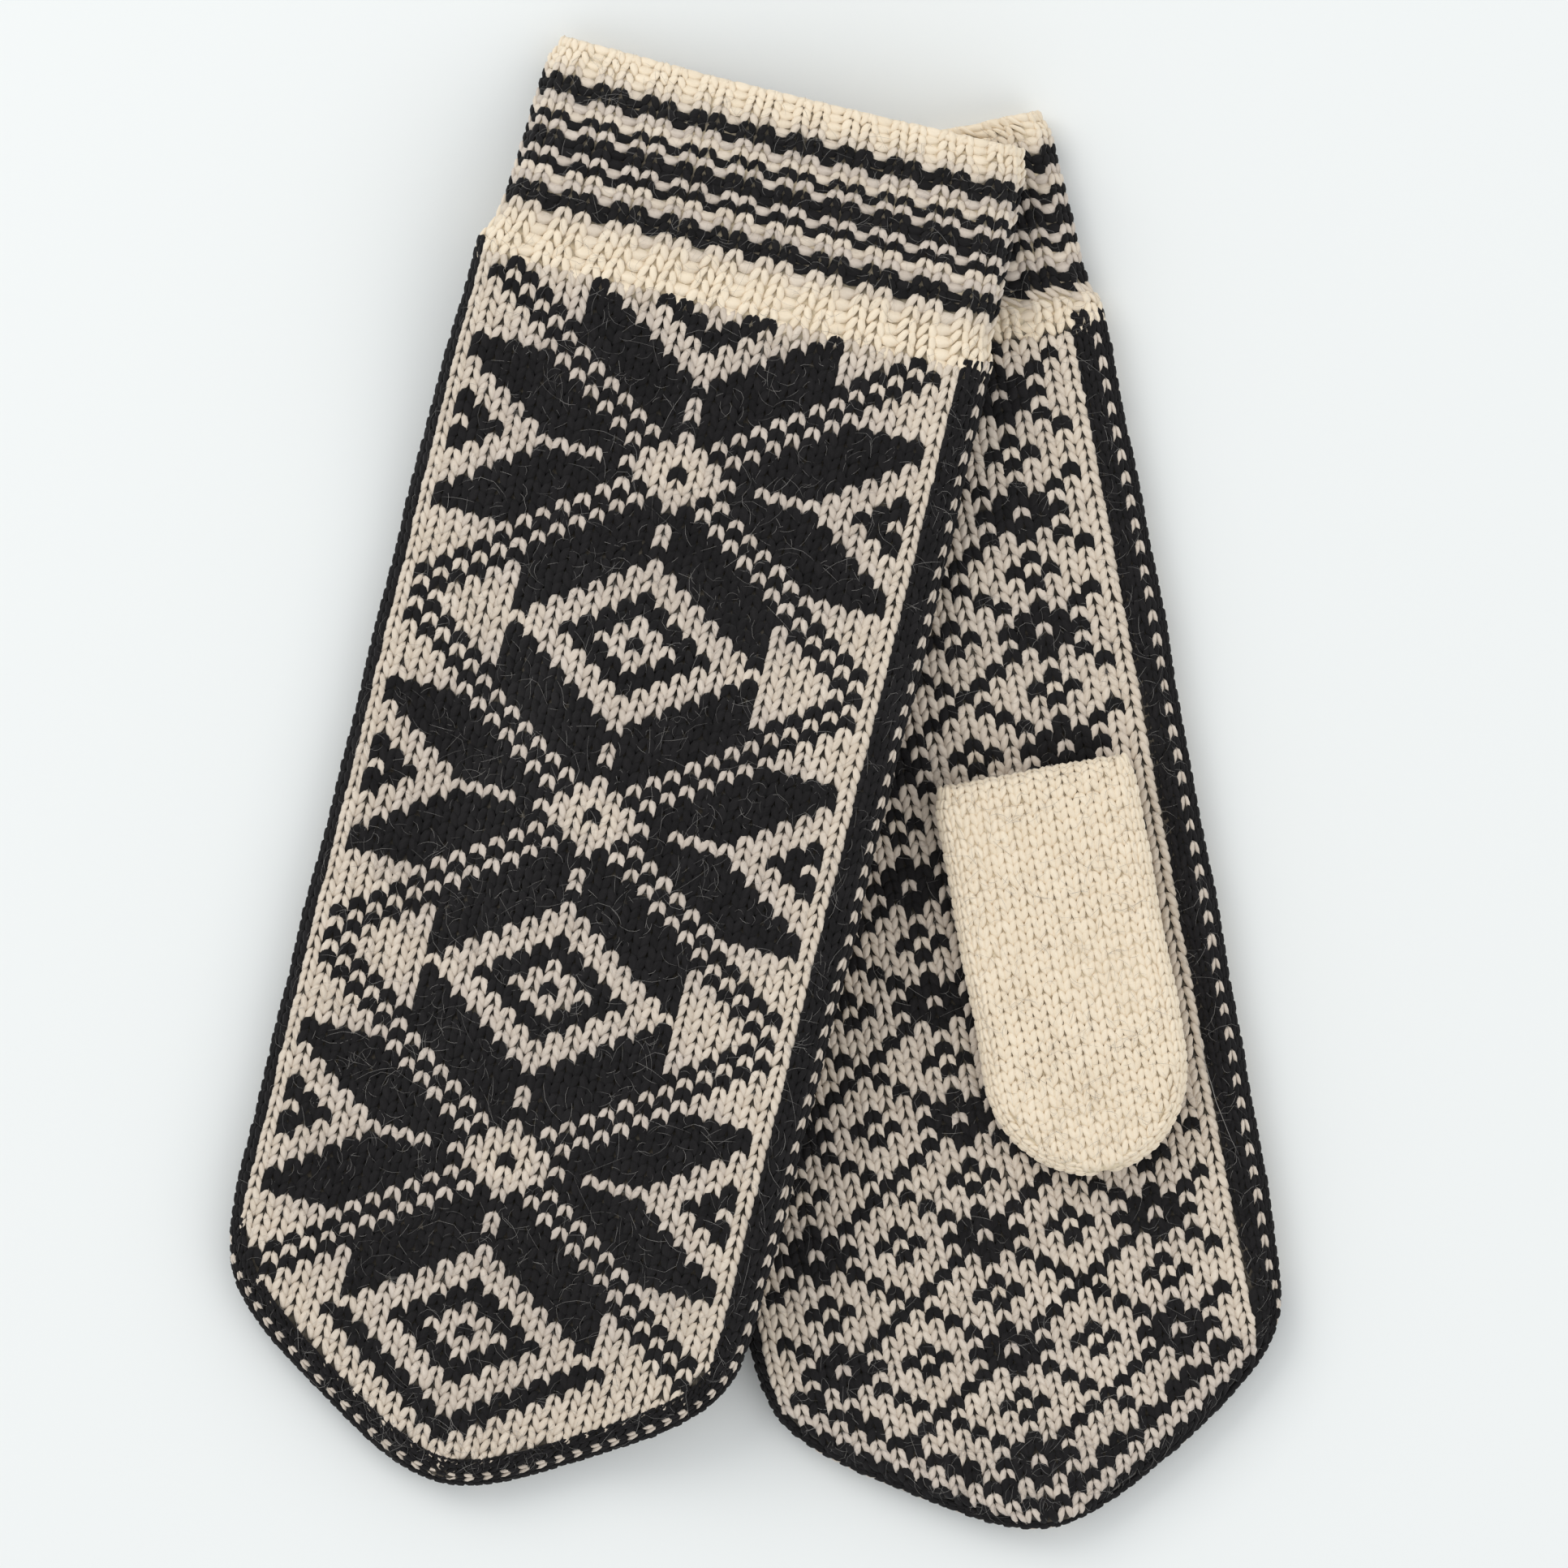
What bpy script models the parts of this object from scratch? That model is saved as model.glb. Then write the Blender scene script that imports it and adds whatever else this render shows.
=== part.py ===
"""A pair of stranded-knit wool mittens, laid flat with one lying across the other.

The left mitten lies palm up on the surface, and the right mitten lies over it, back of the hand up.
Each mitten is a flattened tube of knitted fabric, open at the cuff and closed at the fingertip, with
a thumb knitted out of a slot across its palm. It is described in flat coordinates of its own:

    u  across the hand, from the centre line towards the thumb's side,
    s  along the hand, from the cast-on edge of the cuff to the fingertip,
    w  through the hand, from the back (0) to the palm (HAND_THICKNESS), with the thumb beyond.

A mitten's empty stands at the middle of its cast-on edge, with local X along u and local -Y along s.
"""

import math
from dataclasses import dataclass

import bpy
from mathutils import Vector

# Fit between neighbouring pieces
SEAM_GAP = 0.0003          # between two sections of the same fabric
LAY_CLEARANCE = 0.0008     # between two mittens, and between a thumb and the palm it lies on

# The knitted fabric and the hand
FABRIC = 0.0022            # thickness of the stranded fabric
HAND_THICKNESS = 0.0100    # outside, back to palm, lying flat but slightly open
HAND_WIDTH = 0.1046
HAND_START_WIDTH = 0.1026  # where the hand begins at the cuff
HAND_WIDEN_LENGTH = 0.060
BAND_WIDTH = 0.0060        # how far a side band reaches in over the back and the palm

# The pointed tip: its slanting sides and the roundness of its apex and shoulders
TIP_LENGTH = 0.044
TIP_SLANT = 1.42           # half width gained per unit of length
TIP_APEX = 0.010
SHOULDER_SHARPNESS = 8.0

# The cuff
CUFF_EDGE_WIDTH = 0.0950
CUFF_END_WIDTH = 0.0994
WELT_LENGTH = 0.0085

# The thumb
THUMB_BASE_FROM_CUFF = 0.0900
THUMB_LENGTH = 0.0798
THUMB_WIDTH = 0.0400
THUMB_OFFSET = 0.0214      # its centre line, from the hand's
THUMB_THICKNESS = 0.0084
THUMB_FABRIC = 0.0019
THUMB_ROUND_LENGTH = 0.022
THUMB_END_LENGTH = 0.0080
SLOT_LENGTH = 0.0080
SLOT_SIDE_MARGIN = 0.0050

# How the upper mitten is draped
DRAPE_LEAD = 0.0020        # full height is reached this far outside the lower mitten
DRAPE_RAMP = 0.040
DROOP_RAMP = 0.030         # fall of the upper cuff beyond the lower cuff's edge
THUMB_RISE_MARGIN = 0.010
THUMB_RISE_RAMP = 0.026

# Mesh fineness
ARC_STEPS = 5
FLAT_CELL = 0.060
DRAPED_CELL = 0.0095
TIP_STEPS = 12
BASE_ANGLES = (20, 50, 90)
END_ANGLES = (90, 65, 42, 20)


@dataclass(frozen=True)
class Mitten:
    """One mitten: its lengths and how it lies."""

    name: str
    cuff_length: float
    hand_length: float
    cuff_centre: tuple      # of the cast-on edge, on the surface
    lean: float             # degrees that the cuff leans towards +X
    palm_up: bool
    cell: float             # fineness of the mesh along the fabric

    @property
    def length(self):
        return self.cuff_length + self.hand_length

    @property
    def thumb_base(self):
        return self.cuff_length + THUMB_BASE_FROM_CUFF


LEFT = Mitten("left", 0.0345, 0.2350, (0.00974, 0.12100), -10.3, True, FLAT_CELL)
RIGHT = Mitten("right", 0.0377, 0.2388, (0.00594, 0.13280), 14.0, False, DRAPED_CELL)

THUMB_RISE = THUMB_THICKNESS + 2 * LAY_CLEARANCE
CREAM = (0.76, 0.68, 0.55)
BLACK = (0.022, 0.021, 0.022)
PATTERNED = (0.36, 0.32, 0.27)


def smooth_step(t):
    """0 below 0, 1 above 1, and a smooth rise between."""
    t = min(max(t, 0.0), 1.0)
    return t * t * (3.0 - 2.0 * t)


def evenly(start, end, cell):
    """Values from start to end, both included, no further apart than cell."""
    count = max(1, math.ceil(abs(end - start) / cell))
    return [start + (end - start) * k / count for k in range(count + 1)]


# ---------------------------------------------------------------- outlines

def hand_half_width(mitten, s):
    """Half the hand's width at s: gently widening sides, then a tip like a hyperbola."""
    along = (s - mitten.cuff_length) / HAND_WIDEN_LENGTH
    side = 0.5 * (HAND_START_WIDTH + (HAND_WIDTH - HAND_START_WIDTH) * smooth_step(along))
    x = max(mitten.length - s, 0.0)
    slant = TIP_SLANT * math.sqrt(x * (x + 2.0 * TIP_APEX))
    if slant == 0.0:
        return 0.0
    power = SHOULDER_SHARPNESS
    return (side ** -power + slant ** -power) ** (-1.0 / power)


def hand_edge(mitten):
    """The outline on the thumb's side, cuff to apex, as (u, s, inward u, inward s)."""
    start = mitten.cuff_length + SEAM_GAP / 2
    stations = evenly(start, mitten.length - TIP_LENGTH, mitten.cell)
    stations += [mitten.length - TIP_LENGTH * (1 - k / TIP_STEPS) ** 2 for k in range(1, TIP_STEPS + 1)]
    points = [(hand_half_width(mitten, s), s) for s in stations]
    edge = []
    for k, (u, s) in enumerate(points):
        before, after = points[max(k - 1, 0)], points[min(k + 1, len(points) - 1)]
        run = Vector((after[0] - before[0], after[1] - before[1])).normalized()
        inward = Vector((-run.y, run.x))
        if k == 0:
            inward = Vector((-1.0, 0.0))
        if k == len(points) - 1:
            inward = Vector((0.0, -1.0))
        edge.append((u, s, inward.x, inward.y))
    return edge


def stadium(half_width, half_height, middle, flats):
    """A flat oval around (0, middle): two half circles joined by straight runs in `flats` steps."""
    straight = max(half_width - half_height, 0.0)
    loop = []
    for side in (1, -1):
        for k in range(ARC_STEPS + 1):
            angle = math.pi * (k / ARC_STEPS - 0.5)
            loop.append((side * (straight + half_height * math.cos(angle)),
                         middle + side * half_height * math.sin(angle)))
        for k in range(1, flats):
            loop.append((side * straight * (1 - 2 * k / flats), middle + side * half_height))
    return loop


# ---------------------------------------------------------------- how a mitten lies

def world_point(mitten, u, s):
    """The place on the surface of the flat point (u, s)."""
    lean = math.radians(mitten.lean)
    x = mitten.cuff_centre[0] + u * math.cos(lean) - s * math.sin(lean)
    y = mitten.cuff_centre[1] - u * math.sin(lean) - s * math.cos(lean)
    return x, y


def flat_point(mitten, x, y):
    """The flat (u, s) of a place on the surface."""
    lean = math.radians(mitten.lean)
    dx, dy = x - mitten.cuff_centre[0], y - mitten.cuff_centre[1]
    return dx * math.cos(lean) - dy * math.sin(lean), -dx * math.sin(lean) - dy * math.cos(lean)


def support_height(mitten, u, s):
    """How high the lower mitten holds the upper one at (u, s)."""
    lower_u, lower_s = flat_point(LEFT, *world_point(mitten, u, s))
    inside = lower_u + HAND_WIDTH / 2 + DRAPE_LEAD + DRAPE_RAMP
    beyond_cuff = lower_s + LAY_CLEARANCE + DROOP_RAMP
    height = HAND_THICKNESS + LAY_CLEARANCE
    return height * smooth_step(inside / DRAPE_RAMP) * smooth_step(beyond_cuff / DROOP_RAMP)


def thumb_rise(mitten, u, s):
    """How high the upper hand is held by its own thumb, which lies under it."""
    away_u = abs(u - THUMB_OFFSET) - THUMB_WIDTH / 2 - THUMB_RISE_MARGIN
    away_s = abs(s - mitten.thumb_base - THUMB_LENGTH / 2) - THUMB_LENGTH / 2 - THUMB_RISE_MARGIN
    fall = smooth_step(1 - away_u / THUMB_RISE_RAMP) * smooth_step(1 - away_s / THUMB_RISE_RAMP)
    return THUMB_RISE * fall


def lay(mitten, u, s, w, is_thumb=False):
    """Local coordinates of (u, s, w) with the mitten lying as it does."""
    if mitten.palm_up:
        return Vector((u, -s, w))
    rise = THUMB_RISE if is_thumb else thumb_rise(mitten, u, s)
    height = SEAM_GAP + support_height(mitten, u, s) + rise + HAND_THICKNESS - w
    return Vector((u, -s, height))


# ---------------------------------------------------------------- mesh helpers

def loft(loops):
    """Faces joining equal loops in order, with both ends closed. Loops hold (u, s, w)."""
    count = len(loops[0])
    faces = [tuple(range(count)), tuple(reversed(range((len(loops) - 1) * count, len(loops) * count)))]
    faces += wall_faces(len(loops), count, 0)
    return [p for loop in loops for p in loop], faces


def wall_faces(rows, count, first):
    """Quads between neighbouring closed loops of count points, numbered from first."""
    faces = []
    for row in range(rows - 1):
        for k in range(count):
            a = first + row * count + k
            b = first + row * count + (k + 1) % count
            faces.append((a, a + count, b + count, b))
    return faces


def sleeve(outer, inner):
    """A tube with an outer and an inner wall, joined by a ring at each end."""
    rows, count = len(outer), len(outer[0])
    points = [p for loop in outer + inner for p in loop]
    inside = rows * count
    faces = wall_faces(rows, count, 0)
    faces += [tuple(reversed(f)) for f in wall_faces(rows, count, inside)]
    for row in (0, rows - 1):
        for k in range(count):
            a, b = row * count + k, row * count + (k + 1) % count
            ring = (a, b, b + inside, a + inside)
            faces.append(ring if row == 0 else tuple(reversed(ring)))
    return points, faces


def slab(rows, low, high):
    """A sheet whose rows of (u, s) points run across it, between w = low and w = high."""
    count = len(rows[0])
    inside = len(rows) * count
    points = [(u, s, w) for w in (low, high) for row in rows for (u, s) in row]
    faces = []
    for r in range(len(rows) - 1):
        for k in range(count - 1):
            a = r * count + k
            quad = (a, a + 1, a + count + 1, a + count)
            faces.append(quad)
            faces.append(tuple(i + inside for i in reversed(quad)))
    rim = [k for k in range(count)]
    rim += [r * count + count - 1 for r in range(1, len(rows))]
    rim += [(len(rows) - 1) * count + k for k in range(count - 2, -1, -1)]
    rim += [r * count for r in range(len(rows) - 2, 0, -1)]
    for a, b in zip(rim, rim[1:] + rim[:1]):
        faces.append((a, a + inside, b + inside, b))
    return points, faces


def wool(name, colour):
    """A knitted wool material of one colour."""
    material = bpy.data.materials.new(name)
    material.use_nodes = True
    shader = material.node_tree.nodes["Principled BSDF"]
    shader.inputs["Base Color"].default_value = (*colour, 1.0)
    shader.inputs["Roughness"].default_value = 0.95
    shader.inputs["Metallic"].default_value = 0.0
    return material


def make_mesh(name, mitten, shape, is_thumb=False, origin=(0.0, 0.0, 0.0)):
    """A closed mesh of flat-coordinate points, laid as the mitten lies and facing outwards."""
    points, faces = shape
    mesh = bpy.data.meshes.new(name)
    placed = [lay(mitten, *point, is_thumb=is_thumb) - Vector(origin) for point in points]
    mesh.from_pydata(placed, [], faces)
    mesh.validate()
    if signed_volume(mesh) < 0:
        mesh.flip_normals()
    return mesh


def signed_volume(mesh):
    """Volume inside a closed mesh, negative where its faces point inwards."""
    mesh.calc_loop_triangles()
    corners = [vertex.co for vertex in mesh.vertices]
    total = 0.0
    for triangle in mesh.loop_triangles:
        a, b, c = (corners[i] for i in triangle.vertices)
        total += a.dot(b.cross(c))
    return total / 6.0


def add_piece(name, mesh, material, parent, location=(0.0, 0.0, 0.0)):
    """A named object with one material, placed under its parent."""
    mesh.materials.append(material)
    piece = bpy.data.objects.new(name, mesh)
    bpy.context.scene.collection.objects.link(piece)
    piece.parent = parent
    piece.location = location
    mesh.shade_smooth()
    mesh.set_sharp_from_angle(angle=math.radians(40))
    return piece


def cut(piece, cutter_mesh):
    """Cut a hidden tool out of a piece with a live Boolean."""
    cutter = bpy.data.objects.new(piece.name + "_cutter", cutter_mesh)
    bpy.context.scene.collection.objects.link(cutter)
    cutter.parent = piece.parent
    cutter.location = piece.location
    cutter.hide_render = True
    cutter.display_type = "WIRE"
    modifier = piece.modifiers.new("cut", "BOOLEAN")
    modifier.operation = "DIFFERENCE"
    modifier.solver = "EXACT"
    modifier.object = cutter


def add_empty(name, location, parent=None, turn=0.0):
    """An empty that carries pieces."""
    empty = bpy.data.objects.new(name, None)
    bpy.context.scene.collection.objects.link(empty)
    empty.location = location
    empty.rotation_euler = (0.0, 0.0, turn)
    empty.parent = parent
    return empty


# ---------------------------------------------------------------- the pieces

def cuff_section(mitten, start, end):
    """A sleeve of cuff from s = start to s = end, tapering with the cuff."""
    flats = len(evenly(0.0, CUFF_END_WIDTH, mitten.cell)) - 1
    outer, inner = [], []
    for s in evenly(start, end, mitten.cell):
        share = s / mitten.cuff_length
        half = 0.5 * (CUFF_EDGE_WIDTH + (CUFF_END_WIDTH - CUFF_EDGE_WIDTH) * share)
        middle = HAND_THICKNESS / 2
        outside = stadium(half, middle, middle, flats)
        inside = stadium(half - FABRIC, middle - FABRIC, middle, flats)
        outer.append([(u, s, w) for u, w in outside])
        inner.append([(u, s, w) for u, w in inside])
    return sleeve(outer, inner)


def panel_rows(mitten):
    """Rows of points over a panel: the hand's outline less the side bands and their seams."""
    inset = BAND_WIDTH + SEAM_GAP / 2
    columns = len(evenly(0.0, HAND_WIDTH, mitten.cell)) - 1
    rows = []
    for u, s, inward_u, inward_s in hand_edge(mitten)[:-1]:
        half = u + inset * inward_u
        place = s + inset * inward_s
        rows.append([(half * (2 * k / columns - 1), place) for k in range(columns + 1)])
    return rows


def panel(mitten, is_palm):
    """The back or the palm of the hand between the two side bands."""
    low = HAND_THICKNESS - FABRIC if is_palm else 0.0
    return slab(panel_rows(mitten), low, low + FABRIC)


def side_band(mitten, side):
    """The strip of fabric that turns round one side of the hand, from the cuff to the apex."""
    radius = HAND_THICKNESS / 2
    reach = BAND_WIDTH - SEAM_GAP / 2
    profile = [(reach, 0.0)]
    profile += arc_profile(radius, radius)
    profile += [(reach, HAND_THICKNESS), (reach, HAND_THICKNESS - FABRIC)]
    profile += reversed(arc_profile(radius, radius - FABRIC))
    profile += [(reach, FABRIC)]
    loops = []
    for u, s, inward_u, inward_s in hand_edge(mitten):
        loop = []
        for depth, w in profile:
            across = max(u + depth * inward_u, SEAM_GAP / 2)
            loop.append((side * across, s + depth * inward_s, w))
        loops.append(loop)
    return loft(loops)


def arc_profile(centre, radius):
    """A half circle of the band's section, as (depth from the edge, w)."""
    angles = [math.pi * k / ARC_STEPS for k in range(ARC_STEPS + 1)]
    return [(centre - radius * math.sin(a), centre - radius * math.cos(a)) for a in angles]


def thumb_slot(mitten):
    """A box through the palm and the thumb's underside, where the thumb opens into the hand."""
    half = THUMB_WIDTH / 2 - SLOT_SIDE_MARGIN
    start = mitten.thumb_base + THUMB_FABRIC
    low = HAND_THICKNESS - 2 * FABRIC
    high = HAND_THICKNESS + LAY_CLEARANCE + THUMB_THICKNESS / 2
    across = evenly(THUMB_OFFSET - half, THUMB_OFFSET + half, mitten.cell)
    return slab([[(u, s) for u in across] for s in (start, start + SLOT_LENGTH)], low, high)


def thumb_loops(mitten, shrink):
    """Sections of the thumb from its rounded base to its tip, shrunk all round by `shrink`."""
    radius = THUMB_THICKNESS / 2
    middle = HAND_THICKNESS + LAY_CLEARANCE + radius
    flats = len(evenly(0.0, THUMB_WIDTH, mitten.cell)) - 1
    half = THUMB_WIDTH / 2
    depth = radius - shrink
    sections = []
    for angle in map(math.radians, BASE_ANGLES):
        start = mitten.thumb_base + radius - depth * math.cos(angle)
        sections.append((start, half - shrink, depth * math.sin(angle)))
    round_start = mitten.thumb_base + THUMB_LENGTH - THUMB_ROUND_LENGTH
    for s in evenly(mitten.thumb_base + radius, round_start, mitten.cell)[1:-1]:
        sections.append((s, half - shrink, depth))
    reach = THUMB_ROUND_LENGTH - shrink
    for angle in map(math.radians, END_ANGLES):
        x = reach * math.cos(angle)
        fall = max(0.0, (x - reach + THUMB_END_LENGTH) / THUMB_END_LENGTH)
        sections.append((round_start + x, (half - shrink) * math.sin(angle),
                         depth * math.sqrt(1 - fall * fall)))
    loops = []
    for s, half_width, half_height in sections:
        outline = stadium(half_width, half_height, middle, flats)
        loops.append([(u + THUMB_OFFSET, s, w) for u, w in outline])
    return loops


def add_thumb(mitten, empty, material):
    """The thumb, hollow and open into the hand, under an empty on the line it swings about."""
    radius = THUMB_THICKNESS / 2
    base = mitten.thumb_base + radius
    hinge = lay(mitten, THUMB_OFFSET, base, HAND_THICKNESS + LAY_CLEARANCE + radius, is_thumb=True)
    swing = add_empty(mitten.name + "_thumb_swing", hinge, parent=empty)
    outside = make_mesh("thumb", mitten, loft(thumb_loops(mitten, 0.0)), True, hinge)
    inside = make_mesh("thumb_hollow", mitten, loft(thumb_loops(mitten, THUMB_FABRIC)), True, hinge)
    opening = make_mesh("thumb_opening", mitten, thumb_slot(mitten), True, hinge)
    thumb = add_piece(mitten.name + "_thumb", outside, material, swing)
    cut(thumb, inside)
    cut(thumb, opening)
    return thumb


def add_mitten(mitten, cream, black, patterned):
    """Every section of one mitten, under an empty at the middle of its cast-on edge."""
    empty = add_empty(mitten.name + "_mitten", (*mitten.cuff_centre, 0.0),
                      turn=-math.radians(mitten.lean))
    rib_start = WELT_LENGTH + SEAM_GAP
    rib_end = mitten.cuff_length - SEAM_GAP / 2
    sections = {
        "cuff_welt": (cuff_section(mitten, 0.0, WELT_LENGTH), cream),
        "cuff_rib": (cuff_section(mitten, rib_start, rib_end), patterned),
        "back_panel": (panel(mitten, is_palm=False), patterned),
        "palm_panel": (panel(mitten, is_palm=True), patterned),
        "thumb_side_band": (side_band(mitten, 1), black),
        "outer_side_band": (side_band(mitten, -1), black),
    }
    for section, (shape, material) in sections.items():
        name = f"{mitten.name}_{section}"
        piece = add_piece(name, make_mesh(name, mitten, shape), material, empty)
        if section == "palm_panel":
            cut(piece, make_mesh("palm_slot", mitten, thumb_slot(mitten), True))
    add_thumb(mitten, empty, cream)


def main():
    """Clear the scene and build both mittens."""
    for item in list(bpy.data.objects):
        bpy.data.objects.remove(item)
    cream = wool("cream_wool", CREAM)
    black = wool("black_wool", BLACK)
    patterned = wool("two_colour_wool", PATTERNED)
    for mitten in (LEFT, RIGHT):
        add_mitten(mitten, cream, black, patterned)


main()
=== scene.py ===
"""A pair of stranded-knit wool mittens, one laid across the other, dressed stitch by stitch.

Each mitten is a flattened tube. Every knit stitch is two slanting strands of yarn that meet towards
the cuff, set on that tube by its column and row, and coloured by the rules of the knitting chart.
Flat coordinates of a mitten, as in its frame: u across towards the thumb's side, s from the cast-on
edge to the fingertip, w from the back of the hand (0) to the palm.
"""

import logging
import math
from collections.abc import Callable
from dataclasses import dataclass, field
from enum import Enum

import bpy
import numpy as np
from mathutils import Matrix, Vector

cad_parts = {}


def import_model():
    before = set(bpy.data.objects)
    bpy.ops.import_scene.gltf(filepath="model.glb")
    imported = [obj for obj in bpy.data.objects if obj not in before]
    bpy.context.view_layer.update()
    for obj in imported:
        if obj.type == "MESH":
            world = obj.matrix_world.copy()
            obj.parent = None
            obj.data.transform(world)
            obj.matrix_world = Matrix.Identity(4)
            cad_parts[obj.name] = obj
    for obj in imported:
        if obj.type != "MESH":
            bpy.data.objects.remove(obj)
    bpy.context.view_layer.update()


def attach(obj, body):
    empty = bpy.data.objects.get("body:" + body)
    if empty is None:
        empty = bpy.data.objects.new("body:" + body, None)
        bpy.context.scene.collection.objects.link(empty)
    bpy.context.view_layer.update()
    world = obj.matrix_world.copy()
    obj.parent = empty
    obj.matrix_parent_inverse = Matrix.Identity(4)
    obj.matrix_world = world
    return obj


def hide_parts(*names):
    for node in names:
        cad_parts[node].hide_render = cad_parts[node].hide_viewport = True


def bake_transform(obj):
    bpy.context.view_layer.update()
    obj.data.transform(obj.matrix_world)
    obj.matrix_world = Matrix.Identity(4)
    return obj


log = logging.getLogger("mittens")
Array = np.ndarray
Carry = Callable[[Array, Array, Array], Array]

# The frame's own sizes, in metres
SEAM_GAP = 0.0003
LAY_CLEARANCE = 0.0008
HAND_THICKNESS = 0.0100
HAND_WIDTH = 0.1046
HAND_START_WIDTH = 0.1026
HAND_WIDEN_LENGTH = 0.060
TIP_LENGTH = 0.044
TIP_SLANT = 1.42
TIP_APEX = 0.010
SHOULDER_SHARPNESS = 8.0
CUFF_EDGE_WIDTH = 0.0950
CUFF_END_WIDTH = 0.0994
THUMB_BASE_FROM_CUFF = 0.0900
THUMB_LENGTH = 0.0798
THUMB_WIDTH = 0.0400
THUMB_OFFSET = 0.0214
THUMB_THICKNESS = 0.0084
THUMB_ROUND_LENGTH = 0.022
DRAPE_LEAD = 0.0020
DRAPE_RAMP = 0.040
DROOP_RAMP = 0.030
THUMB_RISE_MARGIN = 0.010
THUMB_RISE_RAMP = 0.026
THUMB_RISE = THUMB_THICKNESS + 2 * LAY_CLEARANCE

# The knitting, in metres, and in shares of a stitch's width or height where it says so
BODY_ROW = 0.00227             # a row's height in the body
SLANT_ROW = 0.0018             # along the slants of the tip
BORDER_COLUMN = 14             # the last column of the charts
SHOULDER_COLUMNS = 3           # plain black ones past it
BAND_COLUMNS = 5
BAND_SHARES = (0.0, 0.19, 0.5, 0.81, 1.0)      # where they stand across the rim in the tip
BAND_TURN_START = 0.046        # from the fingertip: where the bands start to turn to the rim
BAND_TURN = 0.022
BAND_OPENNESS = 0.15
THUMB_EDGE = 0.42              # angle at which a thumb's face ends and its side columns start
CREAM_FULLNESS = 0.236         # half thickness of a cream leg, as a share of the width
BLACK_FULLNESS = 0.288
THUMB_FULLNESS = 0.292
LEG_LEVEL = -0.00070
LEG_OUT = 0.262                # share: how far a leg's middle stands from its column's
LEG_SLANT = 0.40               # share: how far it runs across
LEG_RUN = 1.72                 # share: and along
LEG_BOW = 0.045                # share
LEG_TALL = 0.00062
LEG_SINK = 0.00016
LEG_DIVE = 0.00046
PURL_LEVEL = -0.00104
PURL_WIDE = 1.50               # share: how far a purl strand runs across
PURL_FULLNESS = 0.62           # share of the height
PURL_BOW = 0.20                # share of the height
PURL_TALL = 0.00084
PURL_SINK = 0.00035
HAND_HAIRS = 3900              # on each face
THUMB_HAIRS = 500
HAIR_RADIUS = 0.000021
WELT_ROWS = 4
STRIPES = (2, -2, 1, -1, 2, -1, 1, -2, 2)      # rows of black, and of cream where negative
STAR_ROWS = (-14, 88)          # first and past the last, from the layout's anchor
LATTICE_ROWS = (-74, 27)
THUMB_BLEND = (0.001, 0.017)   # from the thumb's base: where strands pass from hand to thumb


def smooth(t: Array) -> Array:
    """0 below 0, 1 above 1, and a smooth rise between."""
    t = np.clip(t, 0.0, 1.0)
    return t * t * (3.0 - 2.0 * t)


class Yarn(Enum):
    """The two yarns."""

    CREAM = "cream"
    BLACK = "black"


class Face(Enum):
    """The two faces of a flattened mitten."""

    BACK = "back"
    PALM = "palm"


# ---------------------------------------------------------------- shader tools


def arithmetic(operation: str, is_reflected: bool = False) -> Callable[["Wire", object], "Wire"]:
    """A Wire method that makes a Math node of two terms, swapped where it is reflected."""

    def method(self: "Wire", other: object = 0.0) -> "Wire":
        """The node's value."""
        first, second = (other, self) if is_reflected else (self, other)
        return self.graph.add("ShaderNodeMath", {"operation": operation}, {0: first, 1: second})

    return method


@dataclass(frozen=True)
class Wire:
    """A shader socket that can be written into sums and products."""

    graph: "Graph"
    socket: bpy.types.NodeSocket

    __add__, __radd__ = arithmetic("ADD"), arithmetic("ADD", True)
    __sub__, __rsub__ = arithmetic("SUBTRACT"), arithmetic("SUBTRACT", True)
    __mul__, __rmul__ = arithmetic("MULTIPLY"), arithmetic("MULTIPLY", True)
    sine, at_least, at_most = arithmetic("SINE"), arithmetic("MAXIMUM"), arithmetic("MINIMUM")

    def clamped(self) -> "Wire":
        """self held between 0 and 1."""
        return self.at_least(0.0).at_most(1.0)


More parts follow.
